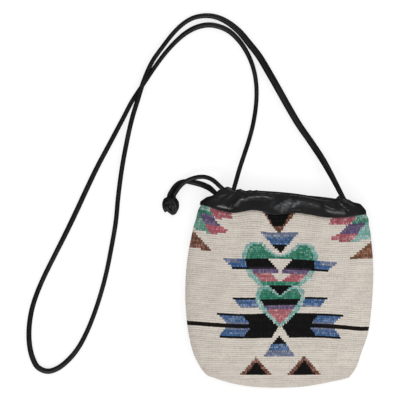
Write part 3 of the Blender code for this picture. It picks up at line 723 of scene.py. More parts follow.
@dataclass
class BagForm:
    """The soft form of the bag's wall and of its band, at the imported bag's own size.

    Each round of the cage gives its left and right fold, the folds' height, its front and back middle and
    the folds' radius. X is a share of half the width, Y of the height and Z of the depth. A flare gives how
    far it stands out on the left and on the right, how far it lies below the seam, and its reach. The seam
    line and the top line give X and how far the edge lies above its plain height there.
    """

    width: float
    depth: float
    bottom: float
    height_share: float = 0.9264
    wall: float = 0.0020
    band_height: float = 0.0242
    leather: float = 0.0010
    channel_half: float = 0.0027
    mouth_gap: float = 0.0072
    seam_fade: float = 0.022
    lean_power: float = 1.2
    left_shift: tuple[float, float] = (0.0146, 0.0096)
    right_shift: tuple[float, float] = (-0.0105, 0.0125)
    back_rise: float = 0.0225
    base_centre: tuple[float, float, float] = (0.010, 0.120, 0.036)
    fold_power: int = 8
    flare_power: int = 6
    flares: tuple = ((0.0019, 0.0024, 0.0055, 0.006), (0.0011, 0.0009, 0.018, 0.011))
    cage: tuple = (
        ((-0.820, 1.053), (0.918, 0.998), 0.346, (1.000, 0.639), (1.000, 0.072), 0.0088),
        ((-0.921, 0.890), (0.980, 0.862), 0.325, (0.868, 0.830), (0.868, -0.010), 0.0070),
        ((-0.980, 0.731), (1.009, 0.696), 0.285, (0.707, 0.950), (0.700, -0.200), 0.0055),
        ((-1.001, 0.541), (0.999, 0.512), 0.275, (0.523, 1.000), (0.520, -0.250), 0.0050),
        ((-0.980, 0.357), (0.958, 0.322), 0.270, (0.339, 0.970), (0.365, -0.250), 0.0050),
        ((-0.925, 0.210), (0.880, 0.193), 0.260, (0.201, 0.860), (0.285, -0.220), 0.0048),
        ((-0.850, 0.121), (0.836, 0.121), 0.245, (0.121, 0.730), (0.250, -0.150), 0.0045),
        ((-0.785, 0.074), (0.784, 0.074), 0.225, (0.074, 0.620), (0.232, -0.080), 0.0042),
        ((-0.735, 0.058), (0.728, 0.048), 0.180, (0.024, 0.470), (0.215, 0.000), 0.0036),
        ((-0.690, 0.062), (0.680, 0.066), 0.125, (-0.006, 0.265), (0.200, 0.020), 0.0024),
        ((-0.560, 0.090), (0.575, 0.088), 0.065, (0.011, 0.103), (0.180, 0.026), 0.0010),
        ((-0.380, 0.108), (0.400, 0.106), 0.040, (0.050, 0.045), (0.160, 0.032), 0.0004),
    )
    seam_line: tuple = (
        (-0.0885, 0.0109), (-0.0770, 0.0060), (-0.0644, 0.0029), (-0.0529, 0.0014), (-0.0414, 0.0029),
        (-0.0322, 0.0045), (-0.0189, 0.0029), (-0.0126, 0.0006), (0.0034, 0.0000), (0.0195, 0.0014),
        (0.0356, -0.0007), (0.0517, -0.0036), (0.0678, -0.0044), (0.0839, -0.0036), (0.1000, -0.0003),
    )
    top_line: tuple = (
        (-0.0800, -0.0074), (-0.0740, -0.0026), (-0.0660, 0.0046), (-0.0598, 0.0068), (-0.0530, 0.0054),
        (-0.0414, 0.0030), (-0.0218, 0.0022), (0.0000, 0.0009), (0.0195, -0.0012), (0.0408, -0.0048),
        (0.0517, -0.0074), (0.0632, -0.0076), (0.0736, -0.0061), (0.0793, -0.0092), (0.0880, -0.0142),
    )

    def __post_init__(self) -> None:
        """Works out the mouth's own round."""
        self.seam = self.wall_section(0.0)
        self.seam_y = self.seam.front[0]

    def wall_section(self, station: float) -> Section:
        """The wall's round at a station.

        Args:
            station: Rounds of the cage, counted down from the mouth seam.

        Returns:
            The round.
        """
        rows = [[*item[0], *item[1], item[2], *item[3], *item[4], item[5]] for item in self.cage]
        value = smooth_values(np.arange(len(rows)), np.array(rows), np.array(station))
        half = self.width / 2
        tall = self.height_share * self.width
        heights = {k: self.bottom + value[k] * tall for k in (1, 3, 5, 7)}
        return Section(
            (value[0] * half, heights[1]),
            (value[2] * half, heights[3]),
            value[4] * self.depth,
            (heights[5], value[6] * self.depth),
            (heights[7], value[8] * self.depth),
            value[9],
        )

    def edge_y(self, line: tuple, base: float, section: Section, x: np.ndarray,
               on_front: np.ndarray) -> np.ndarray:
        """Y of an edge of the band, drawn on the front and plain at the folds and on the back.

        Args:
            line: The drawn edge, as X and how far it lies above its base.
            base: Y that the drawn edge counts from.
            section: The round that the edge lies on.
            x: Where across the bag.
            on_front: Whether each place lies on the front.

        Returns:
            Y there.
        """
        points = np.array(line)
        plain = section.plain_y(x, on_front)
        fold = np.clip(np.abs((x - section.middle_x) / section.half_width), 0.0, 1.0) ** self.fold_power
        drawn = (base + smooth_values(points[:, 0], points[:, 1], x)) * (1 - fold) + plain * fold
        return np.where(on_front, drawn, plain)

    def wave(self, station: float, x: np.ndarray, on_front: np.ndarray) -> np.ndarray:
        """How far a round follows the seam's waves.

        Args:
            station: The round's station, counted down from the seam.
            x: Where across the bag.
            on_front: Whether each place lies on the front.

        Returns:
            What the waves add to Y.
        """
        below = max(self.seam_y - self.wall_section(station).front[0], 0.0)
        fade = math.exp(-((below / self.seam_fade) ** 2))
        drawn = self.edge_y(self.seam_line, self.seam_y, self.seam, x, on_front)
        return (drawn - self.seam.plain_y(x, on_front)) * fade

    def wall_round(self, station: float, share: np.ndarray) -> np.ndarray:
        """Points of the wall's outer face on one round.

        Args:
            station: The round's station, counted down from the seam.
            share: Shares of the way round.

        Returns:
            The points, one row each.
        """
        section = self.wall_section(station)
        angle, x, z = section.read(share).T
        on_front = np.sin(angle) >= 0
        y = section.plain_y(x, on_front) + self.wave(station, x, on_front)
        below = self.seam_y - section.front[0]
        side = (x - section.middle_x) / section.half_width
        for left, right, middle, reach in self.flares:
            puff = math.exp(-(((below - middle) / reach) ** 2))
            x = x + np.where(side < 0, -left, right) * puff * np.abs(side) ** self.flare_power
        return np.stack([x, y, np.maximum(z, 0.0)], axis=1)

    def band_section(self, level: float) -> Section:
        """The band's middle round, between its outer and its inner leg.

        Args:
            level: The share of the band's height, negative where the band laps over the wall.

        Returns:
            The round.
        """
        if level < 0:
            first_drop = self.seam_y - self.wall_section(1.0).front[0]
            return self.wall_section(-level * self.band_height / first_drop).inset(self.wall / 2)
        base = self.seam.inset(self.wall / 2)
        radius_top = self.mouth_gap / 2 + self.leather + self.channel_half
        radius = base.fold_radius + (radius_top - base.fold_radius) * level
        crown = (base.front[1] - base.fold_z - base.fold_radius) * (1 - level / 2)
        sag = (base.fold_z - base.back[1] - base.fold_radius) * (1 - level / 2)
        lean = level**self.lean_power
        return Section(
            (base.left[0] + self.left_shift[0] * lean, base.left[1] + self.left_shift[1] * level),
            (base.right[0] + self.right_shift[0] * lean, base.right[1] + self.right_shift[1] * level),
            base.fold_z,
            (self.seam_y + self.band_height * level, base.fold_z + radius + crown),
            (base.back[0] + self.back_rise * level, base.fold_z - radius - sag),
            radius,
        )

    def band_sheet(self, level: float, share: np.ndarray) -> np.ndarray:
        """Points of one round of the band's middle sheet.

        Args:
            level: The share of the band's height.
            share: Shares of the way round.

        Returns:
            The points, one row each.
        """
        section = self.band_section(level)
        top = self.band_section(1.0)
        angle, x, z = section.read(share).T
        on_front = np.sin(angle) >= 0
        side = (x - section.middle_x) / section.half_width
        seam = self.seam
        low = self.edge_y(self.seam_line, self.seam_y, seam, seam.middle_x + side * seam.half_width, on_front)
        high_base = self.seam_y + self.band_height
        high = self.edge_y(self.top_line, high_base, top, top.middle_x + side * top.half_width, on_front)
        return np.stack([x, low + (high - low) * level, z], axis=1)

    def band_round(self, level: float, offset: float, share: np.ndarray) -> tuple[np.ndarray, np.ndarray]:
        """Points of a round that lies a distance outside the band's middle sheet, and the way out there.

        Args:
            level: The share of the band's height.
            offset: The distance outside the middle sheet.
            share: Shares of the way round.

        Returns:
            The points, and the directions out of the bag.
        """
        step = 0.001
        middle = self.band_sheet(level, share)
        angle = self.band_section(level).read(share)[:, 0]
        upward = self.band_sheet(level + step, share) - self.band_sheet(level - step, share)
        lean = (upward[:, 0] * np.cos(angle) + upward[:, 2] * np.sin(angle)) / upward[:, 1]
        push = offset * np.sqrt(1 + lean**2)
        out = np.stack([np.cos(angle), 0 * angle, np.sin(angle)], axis=1)
        return middle + push[:, None] * out, out


def packed_form() -> BagForm:
    """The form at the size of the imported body."""
    low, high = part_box("crochet_body")
    base_below = 0.0011
    return BagForm(high.x - low.x, high.z, low.y + base_below)


def rolled_mesh(name: str, place: np.ndarray, uv: np.ndarray, paint: np.ndarray | None = None,
                shade: np.ndarray | None = None) -> bpy.types.Mesh:
    """A grid whose points are put on a surface that closes on itself across.

    Args:
        name: The mesh's name.
        place: Rows x columns x 3 points, the last column at the first one's place.
        uv: Rows x columns x 2 coordinates for the piece's own map.
        paint: (Rows - 1) x (columns - 1) x 3 colours of the cells, if they have any.
        shade: Rows x columns painted shade at the points, multiplied into the cells' colours.

    Returns:
        The mesh.
    """
    rows, columns = place.shape[:2]
    work = bmesh.new()
    bmesh.ops.create_grid(work, x_segments=columns - 1, y_segments=rows - 1, size=1.0)
    flat = np.array([vert.co[:2] for vert in work.verts])
    across = np.rint((flat[:, 0] + 1) / 2 * (columns - 1)).astype(int)
    along = np.rint((1 - flat[:, 1]) / 2 * (rows - 1)).astype(int)
    for vert, point in zip(work.verts, place[along, across].tolist()):
        vert.co = point
    maps = work.loops.layers.uv.new(STITCH_MAP)
    points_uv = uv[along, across].tolist()
    dye = work.loops.layers.float_color.new(DYE_AND_SHADE) if paint is not None else None
    lit = shade[along, across].tolist() if shade is not None else None
    work.verts.index_update()
    for face in work.faces:
        face.smooth = True
        corners = [loop.vert.index for loop in face.loops]
        if dye is not None:
            cell = paint[min(along[i] for i in corners), min(across[i] for i in corners)]
        for loop, i in zip(face.loops, corners):
            loop[maps].uv = points_uv[i]
            # The cell's dye, darkened by the shade painted at the point.
            if dye is not None:
                loop[dye] = (cell[0] * lit[i], cell[1] * lit[i], cell[2] * lit[i], 1.0)
    ends = [vert for vert, k in zip(work.verts, across) if k in (0, columns - 1)]
    bmesh.ops.remove_doubles(work, verts=ends, dist=TOUCHING)
    mesh = bpy.data.meshes.new(name)
    work.to_mesh(mesh)
    work.free()
    return mesh


def add_piece(name: str, mesh: bpy.types.ID, material: bpy.types.Material) -> bpy.types.Object:
    """A finished piece, riding on the bag.

    Args:
        name: The piece's name.
        mesh: Its mesh or curve, in place.
        material: Its material.

    Returns:
        The piece.
    """
    mesh.materials.append(material)
    piece = bpy.data.objects.new(name, mesh)
    bpy.context.scene.collection.objects.link(piece)
    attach(piece, "root")
    log.info("%s made", name)
    return piece


@dataclass
class Crochet:
    """The crocheted bucket: rounds of stitches from the mouth down to the middle of the base.

    The slip table says for some rows and stitches how many rows lower the cloth hangs there. Depths are
    shares of the stitches' relief, and a ring's profile gives its way in and its depth.
    """

    form: BagForm
    stitch: float = 0.002185
    row: float = 0.0023575
    stitches: int = 206
    middle_x: float = 0.00115
    rows_tucked: int = 2
    rows: int = 88
    even_until_y: float = -0.0997
    base_station: float = 9.5
    above_steps: int = 14
    below_steps: int = 420
    round_steps: int = 720
    back_pace: tuple[float, float] = (50.0, 80.0)
    sub_columns: int = 4
    sub_rows: int = 3
    relief: float = 0.00042
    groove: float = 0.60
    between_legs: float = 0.32
    row_dip: float = 0.75
    deepest: float = 1.15
    sway: float = 0.07
    bob: float = 0.06
    puff: float = 0.22
    groove_shade: float = 0.10
    leg_shade: float = 0.04
    row_shade: float = 0.30
    leg_top: float = 0.21
    leg_bottom: float = 0.36
    slip_stitches: tuple = (-45, -34, -21, -8, 4, 17, 29, 42)
    slip_rows: tuple = (0, 10, 20, 30, 40, 54, 64, 70, 80, 88)
    slip: tuple = (
        (0.0, 0.0, 0.0, 0.0, 0.0, 0.0, 0.0, 0.0),
        (0.2, 0.3, 0.4, 0.5, 0.4, 0.6, 0.3, 0.2),
        (0.6, 0.8, 0.8, 0.3, 0.2, 0.5, 1.0, 0.3),
        (0.6, 0.9, 1.0, 0.4, 0.3, 0.5, 0.9, 0.3),
        (0.4, 0.6, 0.7, 0.2, -0.3, -0.5, -0.3, 0.0),
        (0.2, 0.5, 0.7, 0.1, -0.4, -0.8, -0.6, 0.1),
        (0.2, 0.4, 0.5, 0.0, -0.4, -0.8, -0.6, 0.0),
        (0.1, 0.2, 0.2, 0.0, -0.2, -0.3, -0.2, 0.0),
        (0.1, 0.1, 0.1, 0.1, 0.1, 0.1, 0.1, 0.1),
        (0.0, 0.0, 0.0, 0.0, 0.0, 0.0, 0.0, 0.0),
    )
    slump: float = 0.00035
    slump_wave: float = 0.034
    slump_middle: float = 0.6
    slump_ends: tuple[float, float] = (6.0, 8.0)
    slump_turn: float = 0.5
    slump_seed: int = 3
    seed: int = 7
    run_stitches: int = 2
    mottle_shares: tuple[float, float, float] = (0.78, 0.34, 0.50)
    stray: float = 0.22
    speck_reach: float = 2.2
    speck_limit: float = 0.75
    shade_drift: float = 0.035
    shade_wave: float = 0.024
    drift_seed: int = 9
    wander: float = 0.45
    wander_squeeze: float = 6.0
    wander_seed: int = 13
    rings: int = 22
    ring_profile: tuple = ((-0.10, 1.4), (0.0, 0.8), (0.36, 0.0), (0.7, 0.0), (1.0, 0.8))
    ring_crowd: float = 0.92
    ring_deepest: float = 1.5
    ring_relief: float = 0.7
    fewest: int = 6

    def __post_init__(self) -> None:
        """Samples the wall densely, so that any stitch can be placed on it."""
        tuck = self.rows_tucked * self.row / self.form.band_height
        above = np.linspace(-tuck, 0.0, self.above_steps)[:-1]
        below = np.linspace(0.0, len(self.form.cage) - 1.0, self.below_steps)
        self.stations = np.concatenate([above, below])
        share = np.linspace(0.0, 1.0, self.round_steps + 1)
        sheet, arcs = [], []
        for station in self.stations:
            if station < 0:
                points = self.form.band_round(-station, self.form.wall / 2, share)[0]
                section = self.form.seam
            else:
                points = self.form.wall_round(station, share)
                section = self.form.wall_section(station)
            dense = section.dense()
            total = dense[-1, 3]
            to_left = np.interp(math.pi, dense[:, 0], dense[:, 3])
            to_right = total - np.interp(2 * math.pi, dense[:, 0], dense[:, 3])
            sheet.append(points)
            arcs.append((total, to_left, to_right, section.middle_x - self.middle_x))
        self.sheet = np.array(sheet)
        self.arcs = np.array(arcs)
        self._measure_rows()
        fine = smooth_values(self.slip_rows, np.array(self.slip), np.arange(self.rows + 1))
        half = self.stitches // 2
        self.slipped = smooth_values(self.slip_stitches, fine.T, np.arange(-half, half + 1)).T

    def _measure_rows(self) -> None:
        """Works out at which station each row lies, in the front's and in the back's middle."""
        on_wall = self.stations >= 0
        self.wall_stations = self.stations[on_wall]
        half = self.sheet.shape[1] // 2
        front, back = self.sheet[on_wall, 0], self.sheet[on_wall, half]
        steps = np.linalg.norm(np.diff(front, axis=0), axis=1)
        level = front[1:, 1] > self.even_until_y
        steps = np.where(level, np.abs(np.diff(front[:, 1])), steps)
        self.front_rows = np.concatenate([[0.0], np.cumsum(steps)]) / self.row
        along_back = line_lengths(back)
        last = np.interp(self.base_station, self.wall_stations, self.front_rows)
        along_last = np.interp(self.base_station, self.wall_stations, along_back)
        self.back_rows = along_back / along_last * last
        self.last_row = last

    def station(self, stitch: np.ndarray, row: np.ndarray) -> np.ndarray:
        """The station of a row at a stitch."""
        front = np.interp(row, self.front_rows, self.wall_stations)
        back = np.interp(row, self.back_rows, self.wall_stations)
        share = ease(np.abs(stitch), *self.back_pace)
        tucked = row * self.row / self.form.band_height
        return np.where(row < 0, tucked, front * (1 - share) + back * share)

    def slip_at(self, stitch: np.ndarray, row: np.ndarray) -> np.ndarray:
        """How far the cloth hangs unevenly.

        Args:
            stitch: Stitches from the front middle, growing to the right.
            row: Rows down from the mouth seam.

        Returns:
            How many rows lower than evenly spaced ones each place lies.
        """
        within = 0.001
        high = np.clip(row, 0.0, self.rows - within)
        wide = np.clip(stitch + self.stitches // 2, 0.0, self.stitches - within)
        return np.where(row > 0, between_points(self.slipped, high, wide), 0.0)

    def place(self, stitch: np.ndarray, row: np.ndarray) -> np.ndarray:
        """Points of the wall.

        Args:
            stitch: Stitches from the front middle, growing to the right.
            row: Rows down from the mouth seam.

        Returns:
            The points, in the shape of the arguments.
        """
        row = row + self.slip_at(stitch, row)
        station = self.station(stitch, row)
        read = [np.interp(station, self.stations, self.arcs[:, k]) for k in range(4)]
        total, to_left, to_right, start = read
        left_end = (to_left - start) / self.stitch
        right_end = (to_right + start) / self.stitch
        back = (total - to_left - to_right) / (self.stitches - left_end - right_end)
        arc = start - stitch * self.stitch
        arc = np.where(stitch < -left_end, to_left + (-stitch - left_end) * back, arc)
        arc = np.where(stitch > right_end, -to_right - (stitch - right_end) * back, arc)
        share = np.mod(arc / total, 1.0) * (self.sheet.shape[1] - 1)
        high = np.interp(station, self.stations, np.arange(len(self.stations)))
        return between_points(self.sheet, high, share)

    def yarns(self, stitch: np.ndarray, row: np.ndarray) -> np.ndarray:
        """The yarn of each stitch, from the charts.

        Args:
            stitch: Stitches from the front middle, growing to the right.
            row: Rows down from the mouth seam.

        Returns:
            The yarns' numbers.
        """
        place = self.place(stitch, row)
        found = np.full(stitch.shape, Yarn.CREAM.value)
        x_px, y_px = PHOTO.pixels(place[..., 0], place[..., 1])
        chart_x = (place[..., 0] - self.middle_x) / self.stitch
        for field in MIDDLE_CHART:
            found[field.covers(chart_x, row)] = field.yarn.value
        for field in CORNER_CHART:
            found[field.inside(x_px, y_px)] = field.yarn.value
        return found

    def mottle(self, shape: tuple[int, int], draw: np.random.Generator) -> np.ndarray:
        """Unevenness of yarn over the half stitches: a leg's own, that of short runs, and the row's.

        Args:
            shape: How many rows and half stitches.
            draw: Where the chances come from.

        Returns:
            The unevenness of each half stitch.
        """
        leg, run = draw.standard_normal((2, *shape))
        span = 2 * self.run_stitches
        run = sum(np.roll(run, shift, axis=1) for shift in range(span)) / span**0.5
        row = draw.standard_normal((shape[0], 1))
        return leg * self.mottle_shares[0] + run * self.mottle_shares[1] + row * self.mottle_shares[2]

    def dye(self, yarns: np.ndarray, draw: np.random.Generator) -> np.ndarray:
        """Each stitch's own colour, with the unevenness and the light and dark stitches of its yarn.

        Args:
            yarns: The yarns' numbers.
            draw: Where the chances come from.

        Returns:
            The colours.
        """
        colours = np.zeros((*yarns.shape, 3))
        tone, change = self.mottle(yarns.shape, draw), self.mottle(yarns.shape, draw)
        for yarn, dye in DYES.items():
            chosen = yarns == yarn.value
            base, speck = np.array(linear(dye.colour)), np.array(linear(dye.speck_colour))
            share = np.clip(dye.specks * self.speck_reach * change[chosen], 0.0, self.speck_limit)[:, None]
            strength = np.exp(tone[chosen] * dye.uneven)[:, None]
            colours[chosen] = (base * (1 - share) + speck * share) * strength
        return colours

    def cells(self) -> tuple[np.ndarray, np.ndarray, np.ndarray, np.ndarray, np.ndarray]:
        """The grid of points over all stitches.

        Returns:
            Stitch, row, depth, place in the stitch, and whether a row starts there, at each point.
        """
        columns = self.stitches * self.sub_columns
        rows = (self.rows + self.rows_tucked) * self.sub_rows
        j, i = np.meshgrid(np.arange(columns + 1), np.arange(rows + 1))
        sub, low = j % self.sub_columns, (i % self.sub_rows) / self.sub_rows
        leg = self.leg_top + (self.leg_bottom - self.leg_top) * low
        across = np.choose(sub, [0 * leg, leg, 0.5 + 0 * leg, 1 - leg])
        stitch = j // self.sub_columns + across - self.stitches / 2
        row = i / self.sub_rows - self.rows_tucked
        depth = np.choose(sub, [self.groove, 0.0, self.between_legs, 0.0])
        depth = np.minimum(depth + np.where(low == 0, self.row_dip, 0.0), self.deepest)
        return stitch, row.astype(float), depth, sub, low == 0

    def displaced(self) -> tuple[np.ndarray, np.ndarray, np.ndarray, np.ndarray]:
        """The stitched wall.

        Returns:
            Every point, its place on the map and in the stitch, and whether a row starts there.
        """
        draw = np.random.default_rng(self.seed)
        stitch, row, depth, sub, line_start = self.cells()
        cell_shape = (self.rows + self.rows_tucked + 1, self.stitches)
        i = np.arange(stitch.shape[0]) // self.sub_rows
        j = (np.arange(stitch.shape[1]) // self.sub_columns) % self.stitches
        sway = draw.uniform(-self.sway, self.sway, cell_shape)[np.ix_(i, j)]
        bob = draw.uniform(-self.bob, self.bob, cell_shape)[np.ix_(i, j)]
        puff = draw.uniform(0.0, self.puff, cell_shape)[np.ix_(i, j)]
        place = self.place(stitch + sway, np.where(row > 0, row + bob, row))
        smooth = self.place(stitch, row)
        out = outward_ways(np.gradient(smooth, axis=0), place, self.sub_columns // 2)
        sunk = -(depth + puff * (depth < 1)) * self.relief
        first, last = self.slump_ends
        fade = ease(row, 0.0, first) * ease(self.last_row - row, 0.0, last)
        fade = fade * ease(out[..., 2], 0.0, self.slump_turn)
        noise = soft_noise(smooth[..., 0], smooth[..., 1], self.slump_wave, self.slump_seed)
        place = place + out * (sunk + (noise - self.slump_middle) * self.slump * fade)[..., None]
        place[..., 2] = np.maximum(place[..., 2], 0.0)
        place[:, -1] = place[:, 0]
        uv = np.stack([stitch, -row], axis=2)
        return place, uv, sub, line_start

    def paint(self) -> np.ndarray:
        """The colour of each cell between the wall's points."""
        rows = self.rows + self.rows_tucked
        draw = np.random.default_rng(self.seed + 1)
        leg, line = np.meshgrid(np.arange(2 * self.stitches), np.arange(rows))
        stray = np.repeat(draw.uniform(-self.stray, self.stray, (rows, self.stitches)), 2, axis=1)
        yarns = self.yarns((leg + 0.5) / 2 + stray - self.stitches / 2, line + 0.5 - self.rows_tucked)
        colours = self.dye(yarns, draw)
        return np.repeat(np.repeat(colours, self.sub_rows, axis=0), self.sub_columns // 2, axis=1)

    def shade(self, place: np.ndarray, sub: np.ndarray, line_start: np.ndarray) -> np.ndarray:
        """How much light the stitches' own hollows leave, a little more here than there.

        Args:
            place: The wall's points.
            sub: Each point's place in its stitch.
            line_start: Whether a row starts there.

        Returns:
            The brightness at each point.
        """
        x, y = place[..., 0], place[..., 1]
        between = np.choose(sub, [self.groove_shade, 0.0, self.leg_shade, 0.0])
        drift = soft_noise(x, y, self.shade_wave, self.drift_seed)
        wander = 1 + self.wander * soft_noise(x, self.wander_squeeze * y, self.shade_wave, self.wander_seed)
        left = 1.0 - between - np.where(line_start, self.row_shade * wander, 0.0)
        return left * (1 + self.shade_drift * drift)

    def build(self, cotton: bpy.types.Material, plain: bpy.types.Material) -> None:
        """The stitched wall in three bands of rounds, its base and its inner face.

        Args:
            cotton: The dyed finish.
            plain: The undyed finish.
        """
        place, uv, sub, line_start = self.displaced()
        # The yarns' colours, and the shade painted into them in the hollows between legs and rows.
        paint, shade = self.paint(), self.shade(place, sub, line_start)
        whole = self.rows + self.rows_tucked
        ends = (0, whole // 3, 2 * (whole // 3), whole)
        for name, first, last in zip(("crochet_upper", "crochet_middle", "crochet_lower"), ends, ends[1:]):
            points = slice(first * self.sub_rows, last * self.sub_rows + 1)
            cells = slice(first * self.sub_rows, last * self.sub_rows)
            mesh = rolled_mesh(name, place[points], uv[points], paint[cells], shade[points])
            self.dress(mesh, cotton)
        self.base(plain)
        self.inner_face(plain)

    def dress(self, mesh: bpy.types.Mesh, material: bpy.types.Material) -> None:
        """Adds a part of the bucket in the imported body's place."""
        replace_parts(add_piece(mesh.name, mesh, material), "crochet_body")

    def base_round(self, share_in: float, share: np.ndarray) -> np.ndarray:
        """Points of one round of the base.

        Args:
            share_in: The share of the way from its edge to its middle.
            share: Shares of the way round.

        Returns:
            The points, one row each.
        """
        steps = 30
        form = self.form
        last = len(form.cage) - 1.0
        edge = self.station_of_row(self.rows)
        stations = np.linspace(edge, last, steps)
        widths = np.array([form.wall_section(station).half_width for station in stations])
        wide = widths[0] * (1 - share_in)
        if wide >= widths[-1]:
            station = np.interp(-wide, -widths, stations)
            return form.wall_round(float(station), share)
        tall = form.height_share * form.width
        centre = np.array([
            form.base_centre[0] * form.width / 2,
            form.bottom + form.base_centre[1] * tall,
            form.base_centre[2] * form.depth,
        ])
        return centre + (form.wall_round(last, share) - centre) * wide / widths[-1]

    def station_of_row(self, row: float) -> float:
        """The station of a row on the front."""
        return float(np.interp(row, self.front_rows, self.wall_stations))

    def base(self, plain: bpy.types.Material) -> None:
        """The base, in rings with fewer stitches towards its middle.

        Args:
            plain: The undyed finish.
        """
        innermost = 0.999
        parts = []
        for ring in range(self.rings):
            count = max(self.fewest, round(self.stitches * (1 - (ring + 0.5) / self.rings) * self.ring_crowd))
            j = np.arange(count * self.sub_columns + 1)
            share = np.mod(j / (count * self.sub_columns), 1.0)
            lines = []
            for low, depth in self.ring_profile:
                inward = min(max((ring + low) / self.rings, 0.0), innermost)
                points = self.base_round(inward, share)
                dip = np.choose(j % self.sub_columns, [self.groove, 0.0, self.between_legs, 0.0])
                points[:, 2] += np.minimum(dip + depth, self.ring_deepest) * self.relief * self.ring_relief
                lines.append(points)
            place = np.array(lines)
            uv = np.stack(np.meshgrid(j / self.sub_columns, np.arange(len(lines)) / self.sub_rows), axis=2)
            parts.append(rolled_mesh(f"base_ring_{ring}", place, uv))
        work = bmesh.new()
        for part in parts:
            work.from_mesh(part)
            bpy.data.meshes.remove(part)
        self.dress(round_solid("crochet_base", work), plain)

    def inner_face(self, plain: bpy.types.Material) -> None:
        """The wall's inner face, where the carried yarns are hidden in the stitches."""
        stitch, row = np.meshgrid(
            np.linspace(-self.stitches / 2, self.stitches / 2, self.stitches // 2 + 1),
            np.linspace(-self.rows_tucked, self.rows, self.rows // 2 + 1),
        )
        place = self.place(stitch, row)
        place = place - outward_ways(np.gradient(place, axis=0), place, 1) * self.form.wall
        place[:, -1] = place[:, 0]
        mesh = rolled_mesh("crochet_inner_face", place, np.stack([stitch, -row], axis=2))
        mesh.flip_normals()
        self.dress(mesh, plain)


class Fold(Enum):
    """How a crease of the leather falls off to its sides."""

    ROUND = 0
    TENT = 1


@dataclass(frozen=True)
class Crease:
    """A ridge or, if its height is negative, a furrow in the band's front, by its pixel places."""

    route: tuple
    width: float
    height: float
    fold: Fold = Fold.ROUND

    def profile(self, away: np.ndarray) -> np.ndarray:
        """The share of its height that is left at distances from its line, in widths."""
        if self.fold is Fold.ROUND:
            return np.exp(-(away**2))
        crest, foot = 0.03, 0.12
        return foot * np.log1p(np.exp((1 - np.sqrt(away**2 + crest)) / foot))


